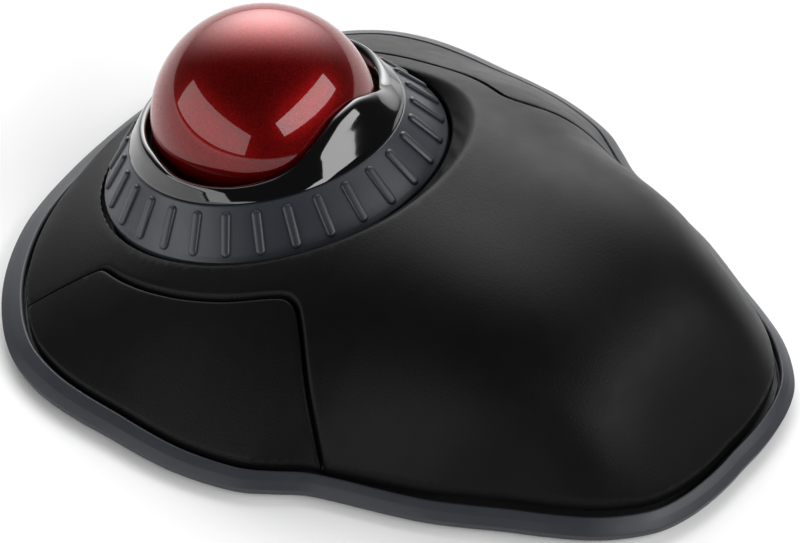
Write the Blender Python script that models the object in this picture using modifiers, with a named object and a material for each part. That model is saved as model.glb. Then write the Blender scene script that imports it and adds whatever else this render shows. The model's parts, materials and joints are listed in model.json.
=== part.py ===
"""Trackball mouse with a scroll ring: a wireless pointing device that stands still on the desk.

A ball rests on three small bearings in a cup. A tapered ring turns around the cup for scrolling.
The palm shell carries a hinged button on each side, each over its own micro-switch. A trim band
runs round the foot of the case, and the base plate holds the boards, two AA cells and the feet.

Frame: +X to the user's right, +Y away from the user, +Z up, origin on the desk under the middle.
The case is left-right symmetrical about X = 0. All sizes are in metres.
"""
import math

import bmesh
import bpy
from mathutils import Matrix, Vector

MM = 0.001

# Case outline: the right half, from the middle of the front edge to the middle of the rear edge
OUTLINE_HALF = [
    (0.0, 69.4), (13.0, 68.8), (26.0, 66.6), (38.0, 61.4), (47.5, 54.3), (54.5, 45.6),
    (57.8, 35.0), (58.3, 22.0), (58.1, 8.5), (55.0, -4.0), (49.2, -13.2), (45.6, -23.5),
    (42.0, -33.6), (36.0, -45.0), (29.0, -57.8), (20.0, -66.2), (9.5, -69.1), (0.0, -69.4),
]
OUTLINE_STEPS = 2
GAP = 0.3 * MM

# Ball, scroll ring and the tilted axis that they share
RING_CENTRE = Vector((0.0, 30.2 * MM, 18.2 * MM))
RING_TILT = math.radians(14.3)
BALL_RADIUS = 20.0 * MM
BALL_LIFT = 8.9 * MM
RING_FOOT_RADIUS = 30.9 * MM
RING_TOP_RADIUS = 24.8 * MM
RING_HEIGHT = 7.6 * MM
SLEEVE_BORE = 23.3 * MM
SLEEVE_WALL = 1.5 * MM
RING_OPENING = 31.6 * MM
CUP_CLEARANCE = 1.0 * MM
CUP_WALL = 2.0 * MM
CUP_RADIUS = 23.0 * MM
EJECT_RADIUS = 8.0 * MM
BEARING_RADIUS = 1.25 * MM

# Palm shell: crest height, where it lies, and how the skin falls away to the trim
EDGE_HEIGHT = 4.9 * MM
CREST_HEIGHT = 31.4 * MM
CREST_Y = -1.5 * MM
REAR_FALL = 2.05
FRONT_SLOPE = 0.48
FRONT_BLEND = 19.3 * MM
SIDE_POWER_FRONT = 1.45
SIDE_POWER_REAR = 2.4
NOSE_SLOPE = 1.2
SHELL_WALL = 2.2 * MM
BUTTON_WALL = 1.8 * MM
CHANNEL = 1.1 * MM
SKIN_COVER = 0.6 * MM
BOSS_RADIUS = 2.5 * MM
BUTTON_GAP = 0.6 * MM

# Base, trim and what stands between them and the desk
BASE_UNDERSIDE = 0.8 * MM
BASE_TOP = 2.6 * MM
TRIM_TOP = 4.7 * MM
TRIM_CREASE = 2.4 * MM
TRIM_TUCK = 0.5 * MM
TRIM_WIDTH_REAR = 2.6 * MM
TRIM_WIDTH_FRONT = 3.9 * MM
FOOT_RADIUS = 5.0 * MM
FOOT_HEIGHT = 1.2 * MM
FEET = {"front_left": (-42, 44), "front_right": (42, 44), "middle_left": (-45, 8),
        "middle_right": (45, 8), "rear_left": (-19, -56), "rear_right": (19, -56)}

# Screws that hold the case, the cup and the ring's carrier, all driven from below
SCREW_RADIUS = 1.1 * MM
HEAD_RADIUS = 2.2 * MM
HEAD_HEIGHT = 0.9 * MM
CASE_SCREWS = {"front_left": (-32, 56), "front_right": (32, 56), "middle_left": (-37, -15),
               "middle_right": (37, -15), "rear_left": (-9, -49), "rear_right": (9, -49)}
CUP_LEG_RADIUS = 2.6 * MM
CARRIER_LEG_CIRCLE = 27.8 * MM
CARRIER_LEGS = {"left": 200.0, "right": -20.0, "front": 90.0}

# Ring carrier, cup legs, ball sensor, collar and on-off switch
CARRIER_TOP = -2.0 * MM
CARRIER_UNDERSIDE = -3.6 * MM
CARRIER_LEG_RADIUS = 2.0 * MM
CUP_LEG_PLACES = {"left": (-14.0, 29.0), "right": (14.0, 29.0), "front": (0.0, 46.5)}
CUP_LEG_TOP = 9.6 * MM
SENSOR_AXIS = Vector((0.0, -0.8, -0.6))
SENSOR_WINDOW = 2.6 * MM
COLLAR_REACH = 24.55 * MM
COLLAR_CLEARANCE = 0.6 * MM
# The collar's lip by degrees from the rear: its radius and its height, in mm
COLLAR_LIP = [
    (0, 19.6, 15.8), (9, 19.7, 15.6), (16, 20.2, 14.6), (22, 20.6, 13.6), (30, 20.7, 12.0),
    (37, 20.7, 10.8), (45, 20.95, 10.1), (55, 21.9, 9.9), (65, 22.7, 10.0), (75, 23.35, 10.5),
    (85, 23.3, 10.9), (95, 22.8, 11.1), (105, 21.8, 11.5), (115, 21.2, 11.7), (180, 21.1, 11.8),
]
MODE_SWITCH_PLACE = (-37 * MM, 25 * MM)

# Cells under the palm
CELL_RADIUS = 7.25 * MM
CELL_LENGTH = 49.5 * MM
CELL_HEIGHT = 11.2 * MM
CELL_ROWS = {"front": -16.0 * MM, "rear": -31.6 * MM}
TRAY_HALF_LENGTH = 29.0 * MM
TRAY_FRONT = -7.4 * MM
TRAY_REAR = -40.2 * MM
TRAY_WALL = 1.2 * MM
TRAY_TOP = 12.0 * MM
SADDLE_TOP = 20.2 * MM
SADDLE_HALF = 15.0 * MM

# Boards and switches
BOARD_SIZE = (86.0 * MM, 12.0 * MM, 1.2 * MM)
BOARD_PLACE = (0.0, 0.4 * MM, 4.8 * MM)
SWITCH_SIZE = (5.8 * MM, 12.0 * MM, 6.4 * MM)
SWITCH_PLACE = (39.5 * MM, 0.4 * MM)
PLUNGER_SIZE = (1.4 * MM, 2.6 * MM, 1.9 * MM)
PLUNGER_STAND = 0.9 * MM
POST_RADIUS = 1.5 * MM
SWITCH_TOP = BOARD_PLACE[2] + BOARD_SIZE[2] / 2 + GAP + SWITCH_SIZE[2]

# Buttons: the seam's plan on the right side, hinge line along the front seam
SEAM = [
    (45.8, 52.2), (36.4, 41.9), (35.5, 40.8), (35.4, 39.4), (36.4, 35.6), (37.0, 30.0),
    (36.8, 23.5), (35.8, 16.6), (34.3, 11.3), (31.8, 5.4), (31.2, 3.2), (31.9, 0.8),
    (34.4, -2.0), (40.5, -7.4), (46.0, -13.2),
]
SEAM_OUTSIDE = [(52.0, -19.6), (64.0, -19.6), (64.0, 62.0), (54.6, 61.6)]


def outline_points():
    """Smooth closed plan outline as (x, y) points, counter-clockwise from the front."""
    half = [Vector(point) * MM for point in OUTLINE_HALF]
    padded = [Vector((-half[1].x, half[1].y))] + half + [Vector((-half[-2].x, half[-2].y))]
    right = []
    for index in range(1, len(padded) - 2):
        before, start, end, after = padded[index - 1:index + 3]
        for step in range(OUTLINE_STEPS):
            t = step / OUTLINE_STEPS
            right.append(0.5 * (2 * start + (end - before) * t
                                + (2 * before - 5 * start + 4 * end - after) * t ** 2
                                + (3 * start - before - 3 * end + after) * t ** 3))
    right.append(half[-1])
    left = [Vector((-point.x, point.y)) for point in right[1:-1]]
    return left + right[::-1]


def inset(points, distance):
    """The closed outline moved inwards; distance is a number or a function of y."""
    moved = []
    for index, point in enumerate(points):
        along = (points[(index + 1) % len(points)] - points[index - 1]).normalized()
        inward = Vector((-along.y, along.x))
        width = distance(point.y) if callable(distance) else distance
        moved.append(point + inward * width)
    return moved


def trim_width(y):
    """Plan width of the trim, which is broader along the front."""
    share = min(max((y + 10 * MM) / (50 * MM), 0.0), 1.0)
    return TRIM_WIDTH_REAR + (TRIM_WIDTH_FRONT - TRIM_WIDTH_REAR) * share


OUTLINE = outline_points()
TRIM_INNER = inset(OUTLINE, trim_width)


def half_width(y):
    """Half of the skin's width at y, read from the trim's inner edge."""
    right = sorted((point.y, point.x) for point in TRIM_INNER if point.x >= -1e-6)
    for (y_low, x_low), (y_high, x_high) in zip(right, right[1:]):
        if y_low <= y <= y_high and y_high > y_low:
            return x_low + (x_high - x_low) * (y - y_low) / (y_high - y_low)
    return 1e-4


REAR_Y = min(point.y for point in TRIM_INNER)


def smooth_least(first, second, blend):
    """The lesser of two heights, with the corner between them rounded."""
    share = min(max(0.5 + 0.5 * (second - first) / blend, 0.0), 1.0)
    return second + (first - second) * share - blend * share * (1.0 - share)


def ring_plane(x, y):
    """Height of the ring's foot plane over (x, y), and the distance from its axis there."""
    run = y - RING_CENTRE.y
    height = RING_CENTRE.z - run * math.tan(RING_TILT)
    return height, math.hypot(x, run / math.cos(RING_TILT))


def skin_height(x, y):
    """Height of the palm shell's outer skin over (x, y)."""
    back = min(max((CREST_Y - y) / (CREST_Y - REAR_Y), 0.0), 1.0)
    if y < CREST_Y:
        crest = EDGE_HEIGHT + (CREST_HEIGHT - EDGE_HEIGHT) * math.cos(math.pi / 2 * back ** REAR_FALL)
    else:
        crest = CREST_HEIGHT - FRONT_SLOPE * (math.hypot(y - CREST_Y, FRONT_BLEND) - FRONT_BLEND)
    side = min(abs(x) / max(half_width(y), 1e-4), 1.0)
    power = SIDE_POWER_FRONT + (SIDE_POWER_REAR - SIDE_POWER_FRONT) * back
    height = EDGE_HEIGHT + (crest - EDGE_HEIGHT) * math.cos(math.pi / 2 * side ** power)
    nose = EDGE_HEIGHT + (-REAR_Y - y) * NOSE_SLOPE
    height = smooth_least(height, nose, 3.0 * MM)
    plane, radius = ring_plane(x, y)
    scoop = plane + 0.4 * MM + max(radius - RING_OPENING, 0.0)
    return smooth_least(height, scoop, 1.2 * MM)


def ring_frame():
    """Matrix that turns the ring's own frame (axis +Z, foot plane at 0) into the case's."""
    return Matrix.Translation(RING_CENTRE) @ Matrix.Rotation(-RING_TILT, 4, "X")


def material(name, colour, roughness, metallic=0.0):
    """A plain Principled material."""
    made = bpy.data.materials.new(name)
    made.use_nodes = True
    shader = made.node_tree.nodes["Principled BSDF"]
    shader.inputs["Base Color"].default_value = (*colour, 1.0)
    shader.inputs["Roughness"].default_value = roughness
    shader.inputs["Metallic"].default_value = metallic
    return made


FINISHES = {
    "matte": ((0.020, 0.020, 0.022), 0.60, 0.0),
    "trim": ((0.045, 0.050, 0.060), 0.45, 0.0),
    "gloss": ((0.008, 0.008, 0.009), 0.10, 0.0),
    "ball": ((0.350, 0.010, 0.015), 0.12, 0.2),
    "plastic": ((0.030, 0.030, 0.032), 0.55, 0.0),
    "rubber": ((0.015, 0.015, 0.015), 0.85, 0.0),
    "steel": ((0.600, 0.600, 0.600), 0.30, 1.0),
    "ceramic": ((0.850, 0.850, 0.830), 0.20, 0.0),
    "board": ((0.020, 0.120, 0.050), 0.50, 0.0),
    "white": ((0.800, 0.790, 0.750), 0.50, 0.0),
    "lens": ((0.700, 0.750, 0.800), 0.05, 0.0),
    "cell": ((0.150, 0.160, 0.180), 0.35, 0.6),
}


class Workshop:
    """Keeps the part and cutter collections, and makes objects from meshes."""

    def __init__(self):
        for old in list(bpy.data.objects):
            bpy.data.objects.remove(old, do_unlink=True)
        self.parts = bpy.data.collections.new("trackball_mouse")
        self.cutters = bpy.data.collections.new("cutters")
        for group in (self.parts, self.cutters):
            bpy.context.scene.collection.children.link(group)

    def add(self, name, mesh, finish):
        """Link a part with its own material, shaded smooth between flat faces."""
        thing = bpy.data.objects.new(name, mesh)
        self.parts.objects.link(thing)
        mesh.materials.clear()
        mesh.materials.append(material(name, *FINISHES[finish]))
        mesh.shade_smooth()
        mesh.set_sharp_from_angle(angle=math.radians(35))
        return thing

    def cutter(self, name, mesh):
        """Link a cutter or a piece to be joined, which is not a part itself."""
        thing = bpy.data.objects.new(name, mesh)
        self.cutters.objects.link(thing)
        thing.hide_render = True
        thing.display_type = "WIRE"
        return thing

    def combine(self, thing, mesh, operation, label):
        """Cut mesh out of thing, or join or intersect it, with an exact Boolean."""
        helper = self.cutter(f"{thing.name}_{label}", mesh)
        change = thing.modifiers.new(label, "BOOLEAN")
        change.operation = operation
        change.object = helper
        return helper


def mesh_from(form, name="form"):
    """Turn a bmesh into a mesh with its faces pointing out."""
    bmesh.ops.recalc_face_normals(form, faces=form.faces)
    mesh = bpy.data.meshes.new(name)
    form.to_mesh(mesh)
    form.free()
    return mesh


def box(size, place, turn=None):
    """A box of the given size centred on place, turned about its own centre."""
    form = bmesh.new()
    bmesh.ops.create_cube(form, size=1.0)
    bmesh.ops.scale(form, vec=size, verts=form.verts)
    matrix = Matrix.Translation(place) @ (turn or Matrix.Identity(4))
    bmesh.ops.transform(form, matrix=matrix, verts=form.verts)
    return mesh_from(form)


def rod(radius, low, high, sides=16, top_radius=None):
    """A cylinder, or a cone frustum, between two points."""
    low, high = Vector(low), Vector(high)
    form = bmesh.new()
    bmesh.ops.create_cone(form, cap_ends=True, segments=sides, radius1=radius,
                          radius2=radius if top_radius is None else top_radius,
                          depth=(high - low).length)
    turn = Vector((0, 0, 1)).rotation_difference(high - low).to_matrix().to_4x4()
    matrix = Matrix.Translation((low + high) / 2) @ turn
    bmesh.ops.transform(form, matrix=matrix, verts=form.verts)
    return mesh_from(form)


def ball(radius, place, sides, matrix=None):
    """A sphere with poles along its own Z axis."""
    form = bmesh.new()
    bmesh.ops.create_uvsphere(form, u_segments=sides, v_segments=sides // 2, radius=radius)
    move = matrix or Matrix.Translation(place)
    bmesh.ops.transform(form, matrix=move, verts=form.verts)
    return mesh_from(form)


def prism(points, low, high):
    """A plan outline raised from low to high."""
    form = bmesh.new()
    face = form.faces.new([form.verts.new((x, y, low)) for x, y in points])
    raised = bmesh.ops.extrude_face_region(form, geom=[face])
    top = [item for item in raised["geom"] if isinstance(item, bmesh.types.BMVert)]
    bmesh.ops.translate(form, vec=(0, 0, high - low), verts=top)
    return mesh_from(form)


def turned(profile, steps, matrix, lift=None):
    """A closed (radius, height) profile turned round the ring's axis.

    lift, a function of the angle and the point, raises points of the turned mesh.
    """
    mesh = bpy.data.meshes.new("profile")
    count = len(profile)
    edges = [(index, (index + 1) % count) for index in range(count)]
    mesh.from_pydata([(radius, 0.0, height) for radius, height in profile], edges, [])
    spun = bpy.data.objects.new("spun", mesh)
    bpy.context.scene.collection.objects.link(spun)
    screw = spun.modifiers.new("turn", "SCREW")
    screw.steps = screw.render_steps = steps
    screw.use_merge_vertices = True
    screw.merge_threshold = 1e-5
    made = bpy.data.meshes.new_from_object(spun.evaluated_get(bpy.context.evaluated_depsgraph_get()))
    bpy.data.objects.remove(spun, do_unlink=True)
    form = bmesh.new()
    form.from_mesh(made)
    bmesh.ops.remove_doubles(form, verts=form.verts, dist=1e-5)
    if lift:
        for vert in form.verts:
            vert.co = lift(vert.co)
    bmesh.ops.transform(form, matrix=matrix, verts=form.verts)
    return mesh_from(form)


def loft(loops, closed_across=False):
    """Join loops of equal length with quads: an open skin, or a closed tube."""
    form = bmesh.new()
    rows = [[form.verts.new(point) for point in loop] for loop in loops]
    pairs = list(zip(rows, rows[1:]))
    if closed_across:
        pairs.append((rows[-1], rows[0]))
    for first, second in pairs:
        for index in range(len(first)):
            after = (index + 1) % len(first)
            form.faces.new((first[index], first[after], second[after], second[index]))
    return form


def joined(meshes):
    """Several separate solids as one mesh, used as one cutter."""
    form = bmesh.new()
    for mesh in meshes:
        form.from_mesh(mesh)
        bpy.data.meshes.remove(mesh)
    return mesh_from(form)


def mirrored(points):
    """A plan outline on the other side of X = 0."""
    return [(-x, y) for x, y in reversed(points)]


def edge_reach(direction, edge):
    """Distance from the ring's axis point to the edge outline along a plan direction."""
    centre = Vector((RING_CENTRE.x, RING_CENTRE.y))
    for start, end in zip(edge, edge[1:] + edge[:1]):
        side_start = direction.cross(start - centre)
        side_end = direction.cross(end - centre)
        if side_start <= 0.0 < side_end and direction.dot(start - centre) > 0.0:
            share = side_start / (side_start - side_end)
            return direction.dot(start.lerp(end, share) - centre)
    return direction.dot(edge[0] - centre)


def skin(wall):
    """The palm shell's skin, from the ring's opening to the channel at the trim."""
    edge = inset(TRIM_INNER, CHANNEL)
    centre = Vector((RING_CENTRE.x, RING_CENTRE.y))
    shares = (0.0, 0.1, 0.15, 0.2, 0.3, 0.45, 0.6, 0.75, 0.9, 1.0)
    loops = [[] for _ in shares]
    for point in edge:
        direction = (point - centre).normalized()
        start = RING_OPENING / math.hypot(direction.x, direction.y / math.cos(RING_TILT))
        reach = edge_reach(direction, edge) - start
        power = max(math.log(1.8 * MM / reach) / math.log(0.1), 1.0)
        for share, loop in zip(shares, loops):
            x, y = centre + direction * (start + reach * share ** power)
            loop.append((x, y, skin_height(x, y)))
    form = loft(loops)
    raised = bmesh.ops.extrude_face_region(form, geom=list(form.faces))
    under = [item for item in raised["geom"] if isinstance(item, bmesh.types.BMVert)]
    bmesh.ops.translate(form, vec=(0, 0, -wall), verts=under)
    return mesh_from(form)


def screw_hole(x, y, top):
    """A hole for a screw from under the base up to top."""
    return rod(SCREW_RADIUS + GAP, (x, y, BASE_UNDERSIDE), (x, y, top), 12)


def leg_places(angles, circle):
    """Plan places of legs under the ring's carrier."""
    places = {}
    for name, angle in angles.items():
        turn = math.radians(angle)
        local = Vector((circle * math.cos(turn), circle * math.sin(turn), CARRIER_UNDERSIDE))
        places[name] = ring_frame() @ local
    return places


def make_ball(shop):
    """The ball, with its poles on the axis it is rolled about."""
    turn = Matrix.Rotation(math.pi / 2, 4, "Y")
    centre = ring_frame() @ Vector((0, 0, BALL_LIFT))
    sphere = shop.add("ball", ball(BALL_RADIUS, (0, 0, 0), 24, turn), "ball")
    sphere.location = centre


def ring_point(radius, angle, height):
    """A point given round the ring's axis, in the case's frame."""
    turn = math.radians(angle)
    return ring_frame() @ Vector((radius * math.cos(turn), radius * math.sin(turn), height))


def cup_profile():
    """The cup's wall: a cylinder above, a sphere round the ball below, open at the bottom."""
    outer = [(CUP_RADIUS, 7.0 * MM), (CUP_RADIUS, -1.5 * MM)]
    inner = [(20.9 * MM, 7.0 * MM)]
    shell = BALL_RADIUS + CUP_CLEARANCE
    for angle in (58, 46, 35, 24):
        turn = math.radians(angle)
        outer.append(((shell + CUP_WALL) * math.sin(turn),
                      BALL_LIFT - (shell + CUP_WALL) * math.cos(turn)))
    for angle in (84, 72, 58, 46, 35, 24):
        turn = math.radians(angle)
        inner.append((shell * math.sin(turn), BALL_LIFT - shell * math.cos(turn)))
    return outer + inner[::-1]


def make_cup(shop):
    """The cup that holds the ball: three legs, three bearing sockets and the sensor's window."""
    cup = shop.add("ball_cup", turned(cup_profile(), 32, ring_frame()), "plastic")
    legs = [rod(CUP_LEG_RADIUS, (x * MM, y * MM, BASE_TOP + GAP), (x * MM, y * MM, CUP_LEG_TOP), 14)
            for x, y in CUP_LEG_PLACES.values()]
    shop.combine(cup, joined(legs), "UNION", "legs")
    centre = ring_frame() @ Vector((0, 0, BALL_LIFT))
    window = [rod(SENSOR_WINDOW, centre + SENSOR_AXIS * 17 * MM, centre + SENSOR_AXIS * 26 * MM, 14)]
    sockets = [ball(BEARING_RADIUS + GAP, place, 12) for place in bearing_places().values()]
    holes = [screw_hole(x * MM, y * MM, 8.2 * MM) for x, y in CUP_LEG_PLACES.values()]
    shop.combine(cup, joined(window + sockets + holes), "DIFFERENCE", "openings")
    for name, place in bearing_places().items():
        shop.add(f"support_bearing_{name}", ball(BEARING_RADIUS, place, 12), "ceramic")


def bearing_places():
    """Centres of the three small balls that carry the big one."""
    places = {}
    reach = BALL_RADIUS + BEARING_RADIUS + GAP
    polar = math.radians(52)
    for name, angle in (("front", 90.0), ("left", 210.0), ("right", 330.0)):
        places[name] = ring_point(reach * math.sin(polar), angle, BALL_LIFT - reach * math.cos(polar))
    return places


def make_motion_sensor(shop):
    """The lens in the cup's window, the sensor behind it and their small board."""
    centre = ring_frame() @ Vector((0, 0, BALL_LIFT))
    turn = Vector((0, 0, 1)).rotation_difference(SENSOR_AXIS).to_matrix().to_4x4()
    lens = rod(SENSOR_WINDOW - GAP, centre + SENSOR_AXIS * 21.6 * MM, centre + SENSOR_AXIS * 24.6 * MM, 14)
    shop.add("sensor_lens", lens, "lens")
    chip = box((8 * MM, 8 * MM, 2 * MM), centre + SENSOR_AXIS * 26.0 * MM, turn)
    shop.add("motion_sensor", chip, "plastic")
    board = box((16 * MM, 12 * MM, 1 * MM), centre + SENSOR_AXIS * 27.9 * MM, turn)
    shop.add("sensor_board", board, "board")


def collar_lip(angle):
    """Radius and height of the collar's lip, at an angle in degrees from the rear."""
    for (start, *low), (end, *high) in zip(COLLAR_LIP, COLLAR_LIP[1:]):
        if start <= angle <= end:
            share = (angle - start) / (end - start)
            return [(a + (b - a) * share) * MM for a, b in zip(low, high)]
    return [value * MM for value in COLLAR_LIP[-1][1:]]


def collar_shape(point):
    """Move a point of the plain collar so that its lip follows COLLAR_LIP, clear of the ball."""
    radius, height = math.hypot(point.x, point.y), point.z
    lip_radius, lip_height = collar_lip(math.degrees(math.acos(max(min(-point.y / radius, 1.0), -1.0))))
    share = min(max((height - 8.0 * MM) / (4.0 * MM), 0.0), 1.0)
    moved = min(radius + share * (lip_radius - 21.6 * MM), max(COLLAR_REACH, radius))
    height += share * (lip_height - 12.0 * MM)
    off_centre = height - BALL_LIFT
    moved = max(moved, math.sqrt((BALL_RADIUS + COLLAR_CLEARANCE) ** 2 - off_centre ** 2))
    return Vector((point.x * moved / radius, point.y * moved / radius, height))


def make_collar(shop):
    """The glossy collar between the ball and the ring, which also keeps the ring down."""
    profile = [(21.6, 12.0), (22.5, 11.8), (23.6, 10.8), (24.3, 9.2), (24.6, 7.9), (23.0, 7.9),
               (23.0, 7.3), (21.0, 7.3), (20.7, 9.0), (20.9, 11.4)]
    scaled = [(radius * MM, height * MM) for radius, height in profile]
    shop.add("socket_collar", turned(scaled, 60, ring_frame(), collar_shape), "gloss")


def make_ring(shop):
    """The tapered scroll ring and, below its sleeve, the toothed wheel that is read optically."""
    foot = -1.6 * MM
    wall = 1.5 * MM
    sleeve = SLEEVE_BORE + SLEEVE_WALL
    profile = [(RING_TOP_RADIUS, RING_HEIGHT), (RING_FOOT_RADIUS, 0.0), (RING_FOOT_RADIUS, foot),
               (RING_FOOT_RADIUS - wall, foot), (RING_FOOT_RADIUS - wall, -0.6 * MM),
               (sleeve, 5.0 * MM), (sleeve, -1.8 * MM), (SLEEVE_BORE, -1.8 * MM),
               (SLEEVE_BORE, RING_HEIGHT)]
    shop.add("scroll_ring", turned(profile, 48, ring_frame()), "trim")
    top, band, tooth = -2.1 * MM, 1.0 * MM, 2.7 * MM
    outside = 24.5 * MM
    profile = [(outside, top), (outside, top - band), (SLEEVE_BORE, top - band), (SLEEVE_BORE, top)]
    form = bmesh.new()
    form.from_mesh(turned(profile, 48, Matrix.Identity(4)))
    under = [face for face in form.faces if face.normal.z < -0.9]
    under.sort(key=lambda face: math.atan2(face.calc_center_median().y, face.calc_center_median().x))
    teeth = bmesh.ops.extrude_discrete_faces(form, faces=under[::2])
    verts = list({vert for face in teeth["faces"] for vert in face.verts})
    bmesh.ops.translate(form, vec=(0, 0, -tooth), verts=verts)
    bmesh.ops.transform(form, matrix=ring_frame(), verts=form.verts)
    shop.add("ring_code_wheel", mesh_from(form), "plastic")


def make_carrier(shop):
    """The ledge that the ring turns on, on three legs, and the sensor that reads the code wheel."""
    profile = [(30.8 * MM, CARRIER_TOP), (30.8 * MM, CARRIER_UNDERSIDE),
               (25.3 * MM, CARRIER_UNDERSIDE), (25.3 * MM, CARRIER_TOP)]
    carrier = shop.add("ring_carrier", turned(profile, 40, ring_frame()), "plastic")
    places = leg_places(CARRIER_LEGS, CARRIER_LEG_CIRCLE)
    legs = [rod(CARRIER_LEG_RADIUS, (place.x, place.y, BASE_TOP + GAP),
                (place.x, place.y, place.z + 0.6 * MM), 14) for place in places.values()]
    shop.combine(carrier, joined(legs), "UNION", "legs")
    holes = [screw_hole(place.x, place.y, 6.2 * MM) for place in places.values()]
    shop.combine(carrier, joined(holes), "DIFFERENCE", "holes")
    shop.add("ring_sensor_board", box((8 * MM, 1 * MM, 14.4 * MM), (0, 1.6 * MM, 12.9 * MM)), "board")
    shop.add("ring_sensor", box((4 * MM, 1.8 * MM, 3.2 * MM), (0, 3.3 * MM, 18.4 * MM)), "plastic")


def make_case(shop):
    """The palm shell with its screw bosses, and the two buttons cut from the same skin."""
    shell = shop.add("top_shell", skin(SHELL_WALL), "matte")
    opening = [(x * MM, y * MM) for x, y in SEAM + SEAM_OUTSIDE]
    cuts = [prism(side, 2 * MM, 40 * MM) for side in (opening, mirrored(opening))]
    shop.combine(shell, joined(cuts), "DIFFERENCE", "button_openings")
    bosses, holes = [], []
    for x, y in CASE_SCREWS.values():
        top = least_height(x * MM, y * MM, BOSS_RADIUS) - SKIN_COVER
        bosses.append(rod(BOSS_RADIUS, (x * MM, y * MM, BASE_TOP + GAP), (x * MM, y * MM, top), 12))
        holes.append(screw_hole(x * MM, y * MM, case_screw_tip(x, y) + GAP))
    shop.combine(shell, joined(bosses), "UNION", "bosses")
    shop.combine(shell, joined(holes), "DIFFERENCE", "boss_holes")
    inner = [Vector(point) for point in opening]
    inner = [(point.x, point.y) for point in inset(inner[::-1], -BUTTON_GAP)]
    for name, side in (("right_button", inner), ("left_button", mirrored(inner))):
        button = shop.add(name, skin(BUTTON_WALL), "matte")
        shop.combine(button, prism(side, 2 * MM, 40 * MM), "INTERSECT", "outline")
        x = SWITCH_PLACE[0] if name == "right_button" else -SWITCH_PLACE[0]
        low = SWITCH_TOP + PLUNGER_STAND + GAP
        high = least_height(x, SWITCH_PLACE[1], POST_RADIUS) - SKIN_COVER
        post = rod(POST_RADIUS, (x, SWITCH_PLACE[1], low), (x, SWITCH_PLACE[1], high), 12)
        shop.combine(button, post, "UNION", "post")


def least_height(x, y, radius):
    """The skin's least height round a boss or post, so that its top stays inside the wall."""
    turns = [index * math.pi / 6 for index in range(12)]
    return min(skin_height(x + radius * math.cos(turn), y + radius * math.sin(turn)) for turn in turns)


def case_screw_tip(x, y):
    """Height of a case screw's tip, which stays under the shell's wall."""
    return min(least_height(x * MM, y * MM, BOSS_RADIUS) - SHELL_WALL, 8.0 * MM)


def make_trim(shop):
    """The band round the foot of the case: a sloping face over a slightly tucked foot."""
    def across(inward):
        return inset(OUTLINE, lambda y: inward(trim_width(y)))
    section = [(lambda w: TRIM_TUCK, BASE_UNDERSIDE), (lambda w: 0.0, TRIM_CREASE),
               (lambda w: w - 0.5 * MM, TRIM_TOP), (lambda w: w, TRIM_TOP - 0.3 * MM),
               (lambda w: w, BASE_UNDERSIDE)]
    loops = [[(point.x, point.y, height) for point in across(inward)] for inward, height in section]
    form = loft(loops, closed_across=True)
    shop.add("trim_band", mesh_from(form), "trim")


def screw_places():
    """Every screw: its name, its place and the height of its tip."""
    places = {}
    for name, (x, y) in CASE_SCREWS.items():
        places[f"case_screw_{name}"] = (x * MM, y * MM, case_screw_tip(x, y))
    for name, (x, y) in CUP_LEG_PLACES.items():
        places[f"cup_screw_{name}"] = (x * MM, y * MM, 7.9 * MM)
    for name, place in leg_places(CARRIER_LEGS, CARRIER_LEG_CIRCLE).items():
        places[f"carrier_screw_{name}"] = (place.x, place.y, 5.9 * MM)
    return places


def make_screws(shop):
    """Pan-head screws, driven from under the base."""
    for name, (x, y, tip) in screw_places().items():
        low = BASE_UNDERSIDE + 0.1 * MM
        head = shop.add(name, rod(HEAD_RADIUS, (x, y, low), (x, y, low + HEAD_HEIGHT), 14), "steel")
        shaft = rod(SCREW_RADIUS, (x, y, low + HEAD_HEIGHT / 2), (x, y, tip), 10)
        shop.combine(head, shaft, "UNION", "shaft")
        slot = box((3.0 * MM, 0.6 * MM, 0.8 * MM), (x, y, low))
        shop.combine(head, slot, "DIFFERENCE", "slot")


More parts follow.
